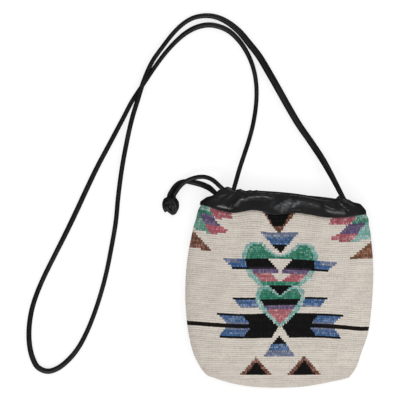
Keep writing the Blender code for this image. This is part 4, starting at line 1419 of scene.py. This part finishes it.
@dataclass
class Band:
    """The leather strip folded over the mouth, with its gathers, creases and stitching.

    Levels are shares of the band's height, and turns say how far a face looks up. In pixels, a ruffle gives
    its middle, its height and its reach, and a crinkled patch its middle and its reach across and along,
    with its height in metres at the end.
    """

    form: BagForm
    columns: int = 560
    lap: float = 0.0014
    clearance: float = 0.0003
    edge_swell: tuple = ((0.022, 0.74), (0.060, 0.92))
    full_level: float = 0.30
    profile_steps: tuple[int, int, int] = (8, 52, 19)
    crowding: tuple[float, float] = (0.075, 0.03)
    flat_until: float = 0.35
    flat_sides: tuple[float, float] = (0.5, 1.0)
    front_turn: float = 0.35
    map_size: tuple[float, float] = (190.0, 12.0)
    hole_reach: float = 0.0035
    crease_unit: float = 0.001
    crease_edge: float = 0.35
    crease_levels: tuple[float, float] = (-0.02, 0.14)
    crease_over_fold: float = 0.15
    creases: tuple = (
        Crease(((221, 202.4), (227, 197.4), (233, 193.0)), 1.6, 0.55),
        Crease(((219.7, 195.2), (229.7, 192.8)), 1.4, 0.5),
        Crease(((218.0, 204.8), (221.5, 205.2), (226, 206.4), (231.0, 206.8)), 1.5, 0.90),
        Crease(((230.0, 206.6), (234.0, 203.6), (237.2, 200.2), (240.6, 197.2)), 2.6, 1.50, Fold.TENT),
        Crease(((233, 203.2), (238, 198.4), (241, 194.6)), 2.2, -0.5),
        Crease(((243.2, 198.2), (246.0, 197.8)), 1.7, 1.15),
        Crease(((248, 196.4), (256, 195.7), (264, 195.6), (268, 196.2)), 1.3, 0.70),
        Crease(((246, 202), (256, 201), (266, 202)), 2.6, -0.5),
        Crease(((270.6, 196.8), (274.0, 198.0)), 2.2, 0.85),
        Crease(((271.0, 202.5), (277.0, 201.0)), 2.6, 0.55),
        Crease(((276.5, 204.4), (283.0, 200.4), (290.0, 197.4)), 5.6, 1.75, Fold.TENT),
        Crease(((298.0, 200.4), (293.4, 204.4)), 2.2, 0.95),
        Crease(((300, 200.0), (307, 200.8), (314, 202.2), (320, 204.4)), 3.0, 0.62),
        Crease(((281.0, 209.6), (300.0, 209.2)), 1.0, 0.30),
        Crease(((322, 203), (328, 206), (334, 208)), 2.4, -0.5),
        Crease(((325.5, 207.2), (330, 210.0), (337, 210.9), (345, 211.2)), 2.6, 1.02, Fold.TENT),
        Crease(((336.5, 199.0), (341, 202.4), (345, 206.8), (348, 209.4)), 1.5, 0.75),
        Crease(
            ((339, 198.6), (344, 200.6), (349, 201.3), (355, 205.3), (359, 207.3), (362, 210.3)), 1.5, 0.75,
        ),
        Crease(((342, 206), (347, 211)), 2.0, -0.5),
        Crease(((359.5, 204.5), (363, 208.5), (364, 212)), 2.0, 0.4),
        Crease(((207, 199), (213, 201), (221, 202)), 2.2, -0.3),
        Crease(((205, 203), (214, 206), (226, 211.5)), 1.8, -0.2),
    )
    ruffles: tuple = (
        (218.6, 3.0, 3.6), (226.0, 1.6, 4.6), (235.5, -1.0, 1.6), (240.5, 0.9, 1.5), (246.0, -0.5, 1.3),
        (250.0, 0.6, 1.4), (256.5, 0.5, 1.6), (333.0, -0.5, 2.5), (339.0, 2.4, 2.6), (349.0, 1.2, 3.0),
    )
    ruffle_level: float = 0.72
    ruffle_turn: tuple[float, float] = (-0.2, 0.4)
    crinkles: tuple = (
        (287.0, 206.0, 7.0, 4.5, 0.00034), (309.0, 204.0, 12.0, 3.0, 0.00020),
        (273.0, 200.0, 3.5, 5.0, 0.00020),
    )
    crinkle_wave: float = 0.0036
    crinkle_seed: int = 21
    swelling: float = 0.00016
    swelling_wave: float = 0.010
    swelling_seed: int = 5
    # Grey sheen painted along creases of the front where highlights fall, each with its width in pixels and
    # its share of the grey, only on faces that look up by the turn below.
    sheen_creases: tuple = (
        Crease(((282.0, 209.4), (285.5, 206.6), (289.5, 203.8)), 3.0, 0.90),
        Crease(((293.6, 204.8), (296.8, 203.2)), 2.4, 0.80),
        Crease(((300.0, 203.6), (309.0, 204.0), (318.0, 206.4)), 2.6, 0.25),
        Crease(((236.4, 205.4), (238.4, 202.8), (240.4, 200.2)), 1.3, 0.70),
        Crease(((273.6, 201.6), (272.4, 198.0)), 2.6, 0.16),
        Crease(((327.6, 210.6), (333.0, 212.6), (344.0, 213.2)), 1.4, 0.70),
    )
    sheen_turn: tuple[float, float] = (0.2, 0.5)
    gathers: int = 34
    gather_depth: float = 0.0006
    gather_place: tuple[float, float] = (0.2, 0.8)
    gather_reach: tuple[float, float] = (0.0045, 0.0075)
    gather_drift: float = 0.012
    gather_strength: tuple[float, float] = (0.5, 1.0)
    gather_levels: tuple[float, float] = (0.05, 0.9)
    gather_seed: int = 11
    stitch_row: int = 4
    stitch_pace: float = 0.0032
    stitch_size: tuple[float, float, float] = (0.00128, 0.00028, 0.00022)

    def profile(self) -> list[tuple[float, float]]:
        """The leather's outer face, from its outside edge over the fold to its inside edge.

        Returns:
            Level and offset of each point.
        """
        form = self.form
        lap = -self.lap / form.band_height
        low = form.wall / 2 + self.clearance + form.leather
        wide = form.channel_half + form.leather
        fold = wide / form.band_height
        top = 1.0 - form.leather / 2 / form.band_height - fold
        (first, first_share), (second, second_share) = self.edge_swell
        knots = np.array([lap, lap + first, lap + second, self.full_level, top])
        swell = np.array([0.0, first_share, second_share])
        offsets = np.array([*(low + (wide - low) * swell), wide, wide])
        edge_steps, leg_steps, turn_steps = self.profile_steps
        edge = np.linspace(lap, lap + second, edge_steps)[:-1]
        legs = np.concatenate([edge, np.linspace(lap + second, top, leg_steps)])
        outer = [(level, float(np.interp(level, knots, offsets))) for level in legs]
        angles = np.linspace(0, math.pi, turn_steps)[1:-1]
        turn = [(top + fold * math.sin(angle), wide * math.cos(angle)) for angle in angles]
        inner = [(level, -offset) for level, offset in reversed(outer)][::2]
        return outer + turn + inner

    def shares(self) -> np.ndarray:
        """Shares of the way round, closer together on the front and at the side folds."""
        step = np.linspace(0.0, 1.0, self.columns + 1)
        once, twice = self.crowding
        return step - once * np.sin(2 * math.pi * step) - twice * np.sin(4 * math.pi * step)

    def relief(self, creases: tuple, x: np.ndarray, y: np.ndarray) -> np.ndarray:
        """The heights of some creases, added up.

        Args:
            creases: The creases.
            x: Places across.
            y: Places along.

        Returns:
            The height at each place.
        """
        total = np.zeros_like(x)
        for crease in creases:
            points = PHOTO.places(crease.route)
            near = np.full(x.shape, 1.0)
            for a, b in zip(points, points[1:]):
                run = b - a
                share = np.clip(((x - a[0]) * run[0] + (y - a[1]) * run[1]) / run.dot(run), 0.0, 1.0)
                near = np.minimum(near, np.hypot(x - a[0] - share * run[0], y - a[1] - share * run[1]))
            width = crease.width * PHOTO.metres
            total += crease.height * crease.profile(near / width)
        return total

    def sheet(self, profile: list, share: np.ndarray) -> tuple[np.ndarray, np.ndarray]:
        """The leather's outer face before it creases.

        Args:
            profile: Level and offset of each round.
            share: Shares of the way round.

        Returns:
            The points, and the directions out of the bag.
        """
        low = profile[0][1]
        place, outward = [], []
        for level, offset in profile:
            points, out = self.form.band_round(level, offset, share)
            puffed = max(offset - low, 0.0) * (1 - float(ease(np.array(level), 0.0, self.flat_until)))
            at_fold = ease(np.abs(out[:, 0]), *self.flat_sides)
            place.append(points - out * (puffed * at_fold)[:, None])
            outward.append(out)
        return np.array(place), np.array(outward)

    def gathered(self, level: np.ndarray, share: np.ndarray) -> np.ndarray:
        """The gathers that the drawstring pulls into the back.

        Args:
            level: The level of each round, in a column.
            share: Shares of the way round.

        Returns:
            How deep they lie at each point, as a share of the deepest.
        """
        draw = np.random.default_rng(self.gather_seed)
        total = np.zeros((len(level), len(share)))
        for k in range(self.gathers):
            centre = (k + draw.uniform(*self.gather_place)) / self.gathers
            reach = draw.uniform(*self.gather_reach)
            drift = draw.uniform(-self.gather_drift, self.gather_drift)
            away = np.mod(share[None, :] - centre - drift * level + 0.5, 1.0) - 0.5
            total += draw.uniform(*self.gather_strength) * np.exp(-((away / reach) ** 2))
        return total

    def crinkled(self, x: np.ndarray, y: np.ndarray) -> np.ndarray:
        """The fine crinkles of the front, where there are some."""
        x_px, y_px = PHOTO.pixels(x, y)
        unevenness = soft_noise(x, y, self.crinkle_wave, self.crinkle_seed)
        total = np.zeros_like(x)
        for x_middle, y_middle, wide_px, high_px, height in self.crinkles:
            away = ((x_px - x_middle) / wide_px) ** 2 + ((y_px - y_middle) / high_px) ** 2
            total += height * unevenness * np.exp(-away)
        return total

    def ruffled(self, x: np.ndarray) -> np.ndarray:
        """How far the ruffles lift the top edge at X."""
        x_px = PHOTO.pixels(x, x)[0]
        rise = np.zeros_like(x)
        for middle, height, width in self.ruffles:
            rise += height * PHOTO.metres * np.exp(-(((x_px - middle) / width) ** 2))
        return rise

    def build(self, leather: bpy.types.Material, thread: bpy.types.Material, cords: list) -> None:
        """The band and its line of stitching.

        Args:
            leather: The band's finish.
            thread: The sewing thread's finish.
            cords: Place, heading and radius of each cord that passes through the top fold.
        """
        share = self.shares()
        profile = self.profile()
        place, outward = self.sheet(profile, share)
        x, y = place[..., 0], place[..., 1]
        level, offset = np.array(profile).T[..., None]
        outer = offset / (self.form.channel_half + self.form.leather)
        front = ease(outward[..., 2], 0.0, self.front_turn)
        lift = self.relief(self.creases, x, y) * front * np.clip(outer + self.crease_over_fold, 0.0, 1.0)
        grown = self.crease_edge + (1 - self.crease_edge) * ease(level, *self.crease_levels)
        lift *= self.crease_unit * grown
        gathers = self.gathered(level, share) * (1 - front)
        lift -= self.gather_depth * gathers * ease(level, *self.gather_levels) * np.abs(outer)
        swollen = self.swelling * soft_noise(x, y, self.swelling_wave, self.swelling_seed)
        lift += (swollen + self.crinkled(x, y)) * np.abs(outer) * front
        rise = self.ruffled(x) * ease(level, self.ruffle_level, 1.0)
        rise *= ease(outward[..., 2], *self.ruffle_turn)
        place = place + outward * lift[..., None]
        place[..., 1] += rise
        place[..., 2] = np.maximum(place[..., 2], 0.0)
        place[:, -1] = place[:, 0]
        around, along = self.map_size
        uv = np.stack(np.broadcast_arrays(share[None, :] * around, level * along), axis=2)
        mesh = rolled_mesh("gathered_band", place, uv)
        self.open_holes(mesh, cords)
        self.paint_sheen(mesh)
        band = add_piece("gathered_band", mesh, leather)
        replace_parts(band, "leather_casing")
        skin = band.modifiers.new("leather", "SOLIDIFY")
        skin.thickness = self.form.leather
        skin.offset = -1.0
        self.stitching(place, thread)

    def paint_sheen(self, mesh: bpy.types.Mesh) -> None:
        """Marks where a grey sheen is painted on the front's leather: along creases that catch highlights, on
        faces that look up.
        """
        points = np.array([vert.co[:] for vert in mesh.vertices])
        faces_us = np.array([vert.normal.z for vert in mesh.vertices])
        share = self.relief(self.sheen_creases, points[:, 0], points[:, 1]) * ease(faces_us, *self.sheen_turn)
        marks = mesh.color_attributes.new(name=SHEEN_LAYER, type="FLOAT_COLOR", domain="POINT")
        for mark, value in zip(marks.data, np.clip(share, 0.0, 1.0).tolist()):
            mark.color = (value, value, value, 1.0)

    def open_holes(self, mesh: bpy.types.Mesh, cords: list) -> None:
        """Opens a round hole in the top fold where each cord passes.

        Args:
            mesh: The band's mesh.
            cords: Place, heading and radius of each hole.
        """
        work = bmesh.new()
        work.from_mesh(mesh)
        for place, heading, radius in cords:
            inside = []
            for vert in work.verts:
                way = vert.co - place
                along = way.dot(heading)
                away = way - heading * along
                if abs(along) < self.hole_reach and away.length < radius:
                    inside.append((vert, away, along))
            gone = {item[0] for item in inside}
            faces = [face for face in work.faces if all(vert in gone for vert in face.verts)]
            bmesh.ops.delete(work, geom=faces, context="FACES")
            for vert, away, along in inside:
                if vert.is_valid and vert.link_faces and away.length > TOUCHING:
                    vert.co = place + heading * along + away.normalized() * radius
        loose = [vert for vert in work.verts if not vert.link_faces]
        bmesh.ops.delete(work, geom=loose, context="VERTS")
        work.to_mesh(mesh)
        work.free()

    def stitching(self, place: np.ndarray, thread: bpy.types.Material) -> None:
        """A line of sewing along the band's lower edge.

        Args:
            place: The band's points.
            thread: The thread's finish.
        """
        line = place[self.stitch_row]
        ahead = place[self.stitch_row + 1] - line
        length = line_lengths(line)
        work = bmesh.new()
        count = int(length[-1] / self.stitch_pace)
        for k in range(count):
            at = (k + 0.5) / count * length[-1]
            centre, before, after = (
                Vector([float(np.interp(at + move, length, line[:, n])) for n in range(3)])
                for move in (0.0, -self.stitch_pace / 3, self.stitch_pace / 3)
            )
            up = Vector([float(np.interp(at, length, ahead[:, n])) for n in range(3)])
            run = (after - before).normalized()
            made = bmesh.ops.create_icosphere(work, subdivisions=1, radius=1.0)["verts"]
            bmesh.ops.scale(work, vec=self.stitch_size, verts=made)
            side = run.cross(up).normalized()
            turn = Matrix((run, side.cross(run), side)).transposed()
            bmesh.ops.rotate(work, matrix=turn, verts=made)
            bmesh.ops.translate(work, vec=centre, verts=made)
        add_piece("band_stitching", round_solid("band_stitching", work), thread)


# The strap's way over the floor. Where a point has no height, the strap lies flat.
STRAP_LIE = 0.0027
STRAP_ROUTE = (
    (-0.0451, 0.1371, 0.0150), (-0.0397, 0.1534, 0.0078), (-0.0342, 0.1703, 0.0036), (-0.0292, 0.1901),
    (-0.0259, 0.2142), (-0.0260, 0.2338), (-0.0290, 0.2511), (-0.0351, 0.2674), (-0.0452, 0.2834),
    (-0.0580, 0.2955), (-0.0706, 0.3009), (-0.0815, 0.3023), (-0.0945, 0.2997), (-0.1070, 0.2931),
    (-0.1197, 0.2822), (-0.1327, 0.2676), (-0.1438, 0.2525), (-0.1552, 0.2355), (-0.1688, 0.2150),
    (-0.1800, 0.1937), (-0.1949, 0.1656), (-0.2095, 0.1381), (-0.2236, 0.1086), (-0.2334, 0.0874),
    (-0.2452, 0.0629), (-0.2590, 0.0356), (-0.2709, 0.0116), (-0.2796, -0.0091), (-0.2851, -0.0273),
    (-0.2879, -0.0468), (-0.2877, -0.0642), (-0.2845, -0.0800), (-0.2780, -0.0923), (-0.2666, -0.0971),
    (-0.2547, -0.0935), (-0.2425, -0.0838), (-0.2314, -0.0703), (-0.2212, -0.0513), (-0.2126, -0.0300),
    (-0.2043, -0.0043), (-0.1985, 0.0182), (-0.1929, 0.0463), (-0.1880, 0.0751),
    (-0.1851, 0.1051, 0.0029), (-0.1808, 0.1373, 0.0046), (-0.1751, 0.1681, 0.0068),
    (-0.1692, 0.1941, 0.0086), (-0.1625, 0.2160, 0.0093), (-0.1558, 0.2372, 0.0092),
    (-0.1461, 0.2595, 0.0083), (-0.1336, 0.2774, 0.0063), (-0.1213, 0.2931, 0.0044),
    (-0.1098, 0.3040, 0.0029), (-0.0983, 0.3105), (-0.0839, 0.3130), (-0.0711, 0.3111), (-0.0580, 0.3047),
    (-0.0453, 0.2943), (-0.0344, 0.2812), (-0.0230, 0.2666), (-0.0119, 0.2482), (-0.0009, 0.2289),
    (0.0104, 0.2087), (0.0234, 0.1868), (0.0374, 0.1667, 0.0030), (0.0503, 0.1470, 0.0068),
    (0.0609, 0.1278, 0.0135),
)
# How many times its usual thickness the strap has, by shares of its length.
STRAP_SWELL = (
    (0.000, 0.93), (0.017, 0.93), (0.111, 0.94), (0.146, 1.10), (0.163, 1.10), (0.184, 0.96), (0.281, 0.99),
    (0.342, 1.07), (0.401, 0.99), (0.443, 1.06), (0.485, 1.13), (0.516, 1.00), (0.623, 0.96), (0.707, 0.99),
    (0.804, 1.00), (0.814, 1.07), (0.823, 1.15), (0.845, 1.33), (0.857, 1.40), (0.934, 1.40), (0.967, 1.34),
    (0.983, 1.16), (1.000, 1.00),
)
UPPER_TAIL_ROUTE = (
    (-0.0690, 0.1171, 0.0196), (-0.0726, 0.1206, 0.0182), (-0.0783, 0.1246, 0.0160),
    (-0.0855, 0.1269, 0.0136), (-0.0929, 0.1268, 0.0116), (-0.1000, 0.1250, 0.0098),
    (-0.1061, 0.1224, 0.0086), (-0.1111, 0.1190, 0.0080), (-0.1151, 0.1148, 0.0075),
    (-0.1182, 0.1104, 0.0070),
)
LOWER_TAIL_ROUTE = (
    (-0.0805, 0.1145, 0.0078), (-0.0846, 0.1165, 0.0060), (-0.0893, 0.1184, 0.0046),
    (-0.0952, 0.1200, 0.0034), (-0.1019, 0.1212, 0.0028), (-0.1083, 0.1219, 0.0026),
    (-0.1143, 0.1205, 0.0027), (-0.1194, 0.1166, 0.0033), (-0.1230, 0.1117, 0.0044),
)
# The knot's strands: how many points each gets, and its route in millimetres from the knot's middle.
KNOT_STRANDS = {
    "right": (60, (
        (3.5, 8.0, -0.2), (4.1, 5.4, 0.8), (6.5, 1.9, 0.9), (7.2, -1.6, 0.6), (6.6, -4.9, 0.2),
        (5.1, -7.6, -0.8), (4.0, -9.6, -2.0),
    )),
    "left": (60, (
        (-1.6, 8.0, -0.2), (-3.6, 6.0, 0.3), (-6.5, 3.4, 0.6), (-7.3, 0.2, 0.4), (-7.0, -3.0, 0.0),
        (-6.1, -5.8, -0.8), (-5.0, -7.6, -1.8),
    )),
    "wrap_high": (60, (
        (-7.0, 2.6, -2.4), (-5.6, 5.0, 0.4), (-1.9, 5.9, 2.6), (1.9, 4.6, 3.5), (4.6, 1.6, 3.3),
        (5.4, -2.0, 2.4), (4.6, -5.2, 0.2),
    )),
    "wrap_low": (70, (
        (-6.8, -1.0, -2.2), (-5.6, 1.6, 1.6), (-2.4, 3.1, 3.4), (0.8, 1.4, 3.5), (2.4, -1.6, 3.4),
        (2.5, -5.0, 2.0), (2.3, -8.2, -0.4), (2.8, -11.2, -2.2),
    )),
    "inner": (50, (
        (-4.6, 0.4, 1.2), (-4.3, -2.6, 1.8), (-3.4, -5.2, 1.2), (-1.2, -7.4, -0.6), (0.8, -9.2, -2.2),
    )),
    "behind": (70, (
        (4.9, 5.2, -0.6), (7.0, 1.0, -2.4), (4.6, -3.6, -3.6), (-0.8, -5.2, -3.7), (-5.6, -2.6, -3.2),
        (-6.6, 1.8, -2.4), (-4.0, 4.8, -1.2),
    )),
}


@dataclass
class Cords:
    """The strap and the drawstring's two tails, with the knot that ties them.

    The tails' exits are shares of the way round the band. A swell gives a share of a cord's length and how
    many times its usual thickness the cord has there.
    """

    form: BagForm
    strap_diameter: float = 0.0056
    strap_tuck: float = 0.0020
    lie_gap: float = 0.0001
    strap_x: tuple[float, float] = (-0.0517, 0.0736)
    strap_points: int = 420
    tail_diameter: float = 0.0052
    tail_exits: tuple[float, float] = (0.208, 0.232)
    tail_swells: tuple = (
        ((0.0, 1.0), (1.0, 1.0)),
        ((0.0, 1.0), (0.08, 1.12), (0.20, 1.34), (0.40, 1.34), (0.54, 1.10), (0.62, 1.0), (1.0, 1.0)),
    )
    tail_points: int = 60
    strap_lead: float = 1.2
    hole_gap: float = 0.0004
    sides: int = 6
    knot_place: tuple[float, float, float] = (-0.1246, 0.0955, 0.0064)
    knot_strands: tuple = ((-0.1211, 0.0062), (-0.1262, 0.0062))
    knot_height: float = 0.0150
    into_knot: float = 0.0022
    knot_core: tuple[float, float, float] = (0.0066, 0.0058, 0.0034)
    knot_floor: float = 0.0003

    def channel_top(self, x: float) -> Vector:
        """The top of the front band's channel at X."""
        reach, steps = 0.26, 521
        share = np.linspace(-reach, reach, steps) % 1.0
        points = self.form.band_round(1.0, 0.0, share)[0]
        near = points[np.argmin(np.abs(points[:, 0] - x))]
        return Vector((x, near[1], near[2]))

    def strap_hole(self, index: int) -> tuple[Vector, Vector]:
        """Where an end of the strap passes the top fold, and the way it leaves."""
        place = self.channel_top(self.strap_x[index])
        toward = (STRAP_ROUTE[0], STRAP_ROUTE[-1])[index]
        return place, (Vector(toward) - place).normalized()

    def tail_hole(self, index: int) -> tuple[Vector, Vector]:
        """Where a drawstring tail passes the top fold, and the way it leaves."""
        top = 1.0 - self.form.leather / self.form.band_height
        place = Vector(self.form.band_round(top, 0.0, np.array([self.tail_exits[index]]))[0][0])
        toward = (UPPER_TAIL_ROUTE, LOWER_TAIL_ROUTE)[index][0]
        return place, (Vector(toward) - place).normalized()

    def holes(self) -> list[tuple[Vector, Vector, float]]:
        """Place, heading and radius of the holes in the band."""
        strap = self.strap_diameter / 2 + self.hole_gap
        tail = self.tail_diameter / 2 + self.hole_gap
        holes = [(*self.strap_hole(index), strap) for index in range(2)]
        return holes + [(*self.tail_hole(index), tail) for index in range(2)]

    def line(self, name: str, points: np.ndarray, diameter: float,
             swell: np.ndarray | None = None) -> bpy.types.Curve:
        """A round cord along a line of points.

        Args:
            name: The cord's name.
            points: The line.
            diameter: The cord's usual thickness.
            swell: How much thicker it is at each point, if it isn't even.

        Returns:
            The cord's curve.
        """
        curve = bpy.data.curves.new(name, "CURVE")
        curve.dimensions = "3D"
        curve.bevel_depth = diameter / 2
        curve.bevel_resolution = self.sides
        curve.use_fill_caps = True
        spline = curve.splines.new("POLY")
        spline.points.add(len(points) - 1)
        places = np.concatenate([points, np.ones((len(points), 1))], axis=1)
        spline.points.foreach_set("co", places.ravel())
        if swell is not None:
            spline.points.foreach_set("radius", swell)
        spline.use_smooth = True
        return curve

    def build(self, material: bpy.types.Material) -> None:
        """Lays the cords, ties the knot and dresses what the band hides."""
        self.strap(material)
        knot = self.knot(material)
        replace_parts(knot, "drawstring_knot")
        for index, (side, route) in enumerate((("upper", UPPER_TAIL_ROUTE), ("lower", LOWER_TAIL_ROUTE))):
            self.tail(index, side, route, material, [knot] if index == 0 else [])
        for name in ("drawstring", "strap_stop_knot_left", "strap_stop_knot_right"):
            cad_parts[name].data.materials.clear()
            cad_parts[name].data.materials.append(material)

    def strap(self, material: bpy.types.Material) -> None:
        """Args:
            material: Its finish.
        """
        inside = self.form.leather + self.strap_tuck
        ends = []
        for index in range(2):
            place, heading = self.strap_hole(index)
            lead = place + heading * self.strap_diameter * self.strap_lead
            ends.append([place - heading * inside, lead])
        route = [(*point, STRAP_LIE)[:3] for point in STRAP_ROUTE]
        points = smooth_route([*ends[0], *route, *reversed(ends[1])], self.strap_points)
        shares, sizes = np.array(STRAP_SWELL).T
        swell = smooth_values(shares, sizes, np.linspace(0.0, 1.0, self.strap_points))
        points[:, 2] = np.maximum(points[:, 2], swell * self.strap_diameter / 2 + self.lie_gap)
        curve = self.line("strap_cord", points, self.strap_diameter, swell)
        strap = add_piece("strap_cord", curve, material)
        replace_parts(strap, "shoulder_strap")

    def tail(self, index: int, side: str, route: tuple, material: bpy.types.Material, carried: list) -> None:
        """Args:
            index: 0 for the upper tail, 1 for the lower one.
            side: Which of them it is, for its name.
            route: The points between the hole and the knot.
            material: Its finish.
            carried: The pieces that would hang on it; not used.
        """
        place, heading = self.tail_hole(index)
        x, z = self.knot_strands[index]
        top = Vector((x, self.knot_place[1] + self.knot_height / 2, z))
        above = top + Vector((0.0, self.tail_diameter / 2, 0.0))
        end = top - Vector((0.0, self.into_knot, 0.0))
        lead = place + heading * self.tail_diameter / 2
        points = smooth_route([place, lead, *route, above, end], self.tail_points)
        shares, sizes = np.array(self.tail_swells[index]).T
        swell = np.interp(np.linspace(0.0, 1.0, self.tail_points), shares, sizes)
        points[:, 2] = np.maximum(points[:, 2], swell * self.tail_diameter / 2)
        curve = self.line(f"tail_{side}", points, self.tail_diameter, swell)
        tail = add_piece(curve.name, curve, material)
        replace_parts(tail, f"drawstring_tail_{side}")

    def knot(self, material: bpy.types.Material) -> bpy.types.Object:
        """The overhand knot of the two strands, with their cut ends.

        Args:
            material: Its finish.

        Returns:
            The knot.
        """
        millimetre = 0.001
        centre = np.array(self.knot_place)
        work = bmesh.new()
        for strand, (count, route) in KNOT_STRANDS.items():
            points = smooth_route([tuple(centre + np.array(point) * millimetre) for point in route], count)
            curve = self.line(f"knot_{strand}", points, self.tail_diameter)
            thing = bpy.data.objects.new(curve.name, curve)
            bpy.context.scene.collection.objects.link(thing)
            bpy.context.view_layer.update()
            made = bpy.context.evaluated_depsgraph_get()
            shape = bpy.data.meshes.new_from_object(thing.evaluated_get(made))
            work.from_mesh(shape)
            bpy.data.objects.remove(thing)
            bpy.data.curves.remove(curve)
            bpy.data.meshes.remove(shape)
        core = bmesh.ops.create_uvsphere(work, u_segments=32, v_segments=18, radius=1.0)["verts"]
        bmesh.ops.scale(work, vec=self.knot_core, verts=core)
        bmesh.ops.translate(work, vec=self.knot_place, verts=core)
        bmesh.ops.remove_doubles(work, verts=work.verts, dist=TOUCHING)
        for vert in work.verts:
            vert.co.z = max(vert.co.z, self.knot_floor)
        return add_piece("tied_knot", round_solid("tied_knot", work), material)


WHITE = (1.0, 1.0, 1.0, 1.0)


@dataclass(frozen=True)
class Softbox:
    """A square white lamp, by its place, what it looks at, its side and its power."""

    name: str
    place: tuple[float, float, float]
    target: tuple[float, float, float]
    side: float
    power: float

    def build(self) -> None:
        """Hangs the lamp."""
        light = bpy.data.lights.new(self.name, "AREA")
        light.size = self.side
        light.energy = self.power
        lamp = bpy.data.objects.new(self.name, light)
        lamp.location = self.place
        lamp.rotation_euler = (Vector(self.target) - Vector(self.place)).to_track_quat("-Z", "Y").to_euler()
        bpy.context.scene.collection.objects.link(lamp)


@dataclass
class Studio:
    """The camera over the bag, the pale floor and the soft light.

    The floor gives a faint shadow and shows white. The light leans, which means that more comes from +X.
    """

    camera_height: float = 6.0
    plane_height: float = 0.02
    sensor: float = 36.0
    clip: tuple[float, float] = (0.5, 60.0)
    floor_size: float = 60.0
    floor_drop: float = 0.0001
    floor_colour: tuple[float, float, float] = (0.90, 0.90, 0.90)
    floor_glow: float = 0.72
    shadow_share: float = 0.35
    ceiling: float = 0.05
    wall_glow: float = 1.1
    wall_from: tuple[float, float] = (-0.75, -0.22)
    foot_glow: float = 0.10
    foot_until: tuple[float, float] = (0.15, 0.50)
    side_glow: float = 0.10
    side_from: tuple[float, float] = (0.25, 0.80)
    floor_glint: float = 0.03
    ambient: float = 0.80
    ambient_lean: float = 0.22
    lamps: tuple = (
        Softbox("key", (-0.45, -1.60, 2.05), (-0.05, 0.05, 0.0), 0.66, 8.5),
        Softbox("glint", (1.00, -1.15, 2.00), (0.0, 0.1, 0.0), 0.52, 2.5),
        Softbox("fill", (0.6, 2.0, 1.3), (-0.05, 0.1, 0.0), 0.9, 4.3),
    )

    def camera(self) -> None:
        """A long lens that looks straight down, as the photograph does."""
        centre = PHOTO.place((PHOTO.size / 2, PHOTO.size / 2))
        data = bpy.data.cameras.new("camera")
        data.type = "PERSP"
        data.sensor_width = self.sensor
        wide = PHOTO.size * PHOTO.metres
        data.lens = self.sensor * (self.camera_height - self.plane_height) / wide
        data.clip_start, data.clip_end = self.clip
        camera = bpy.data.objects.new("camera", data)
        camera.location = (*centre, self.camera_height)
        bpy.context.scene.collection.objects.link(camera)
        bpy.context.scene.camera = camera

    def floor(self) -> None:
        """The floor, which keeps a faint shadow and shows white."""
        work = bmesh.new()
        bmesh.ops.create_grid(work, x_segments=1, y_segments=1, size=self.floor_size / 2)
        bmesh.ops.translate(work, vec=(0.0, 0.0, -self.floor_drop), verts=work.verts)
        mesh = bpy.data.meshes.new("floor")
        work.to_mesh(mesh)
        work.free()
        material = bpy.data.materials.new("pale_floor")
        material.use_nodes = True
        build = Nodes(material.node_tree)
        build.clear()
        plain = build.add("BsdfDiffuse", {"Color": (*self.floor_colour, 1.0)}).outputs[0]
        faint = build.add("BsdfDiffuse", {"Color": (*[self.shadow_share] * 3, 1.0)}).outputs[0]
        glow = build.add("Emission", {"Color": WHITE, "Strength": self.floor_glow}).outputs[0]
        shown = build.add("AddShader", {0: faint, 1: glow}).outputs[0]
        glint = build.add("Emission", {"Color": WHITE, "Strength": self.floor_glint}).outputs[0]
        light = build.add("LightPath").outputs
        seen = build.maths("MAXIMUM", light["Is Camera Ray"], light["Is Transmission Ray"])
        mixed = build.add("MixShader", {0: seen, 1: plain, 2: shown}).outputs[0]
        mixed = build.add("MixShader", {0: light["Is Glossy Ray"], 1: mixed, 2: glint}).outputs[0]
        build.add("OutputMaterial", {"Surface": mixed})
        mesh.materials.append(material)
        floor = bpy.data.objects.new("floor", mesh)
        bpy.context.scene.collection.objects.link(floor)

    def world(self) -> None:
        """A room with one bright wall below the picture's lower edge, which only reflections show."""
        world = bpy.data.worlds.new("studio")
        world.use_nodes = True
        bpy.context.scene.world = world
        build = Nodes(world.node_tree)
        build.clear()
        way = build.add("SeparateXYZ", {0: build.add("TexCoord").outputs["Generated"]}).outputs
        bright = build.ramp(way[1], *self.wall_from, self.wall_glow, self.ceiling)
        low = build.ramp(way[2], *self.foot_until, self.foot_glow, 1.0)
        aside = build.ramp(build.maths("ABSOLUTE", way[0]), *self.side_from, 1.0, self.side_glow)
        wall = build.maths("MULTIPLY", build.maths("MULTIPLY", bright, aside), low)
        light = build.add("LightPath").outputs
        seen = build.maths("MAXIMUM", light["Is Camera Ray"], light["Is Glossy Ray"])
        seen = build.maths("MAXIMUM", seen, light["Is Transmission Ray"])
        lean = build.ramp(way[0], -1.0, 1.0, 1.0 - self.ambient_lean, 1.0 + self.ambient_lean)
        ambient = build.maths("MULTIPLY", lean, self.ambient)
        shown = build.maths("MULTIPLY", seen, wall)
        given = build.maths("MULTIPLY", build.maths("SUBTRACT", 1.0, seen), ambient)
        strength = build.maths("ADD", shown, given)
        shade = build.add("Background", {"Color": WHITE, "Strength": strength}).outputs[0]
        build.add("OutputWorld", {"Surface": shade})

    def build(self) -> None:
        """Sets the studio up."""
        bpy.context.scene.view_settings.view_transform = "Standard"
        self.camera()
        self.floor()
        self.world()
        for lamp in self.lamps:
            lamp.build()


def main() -> None:
    """Builds the studio, the cords, the crochet and the band."""
    logging.basicConfig(level=logging.INFO)
    Studio().build()
    form = packed_form()
    grain, yarn = hide_grain_effect(), spun_yarn_effect()
    cords = Cords(form)
    cords.build(CORD_LEATHER.material(grain))
    Crochet(form).build(DYED_COTTON.material(yarn), CREAM_COTTON.material(yarn))
    Band(form).build(BAND_LEATHER.material(grain), BAND_THREAD.material(grain), cords.holes())


if __name__ == "__main__":
    main()
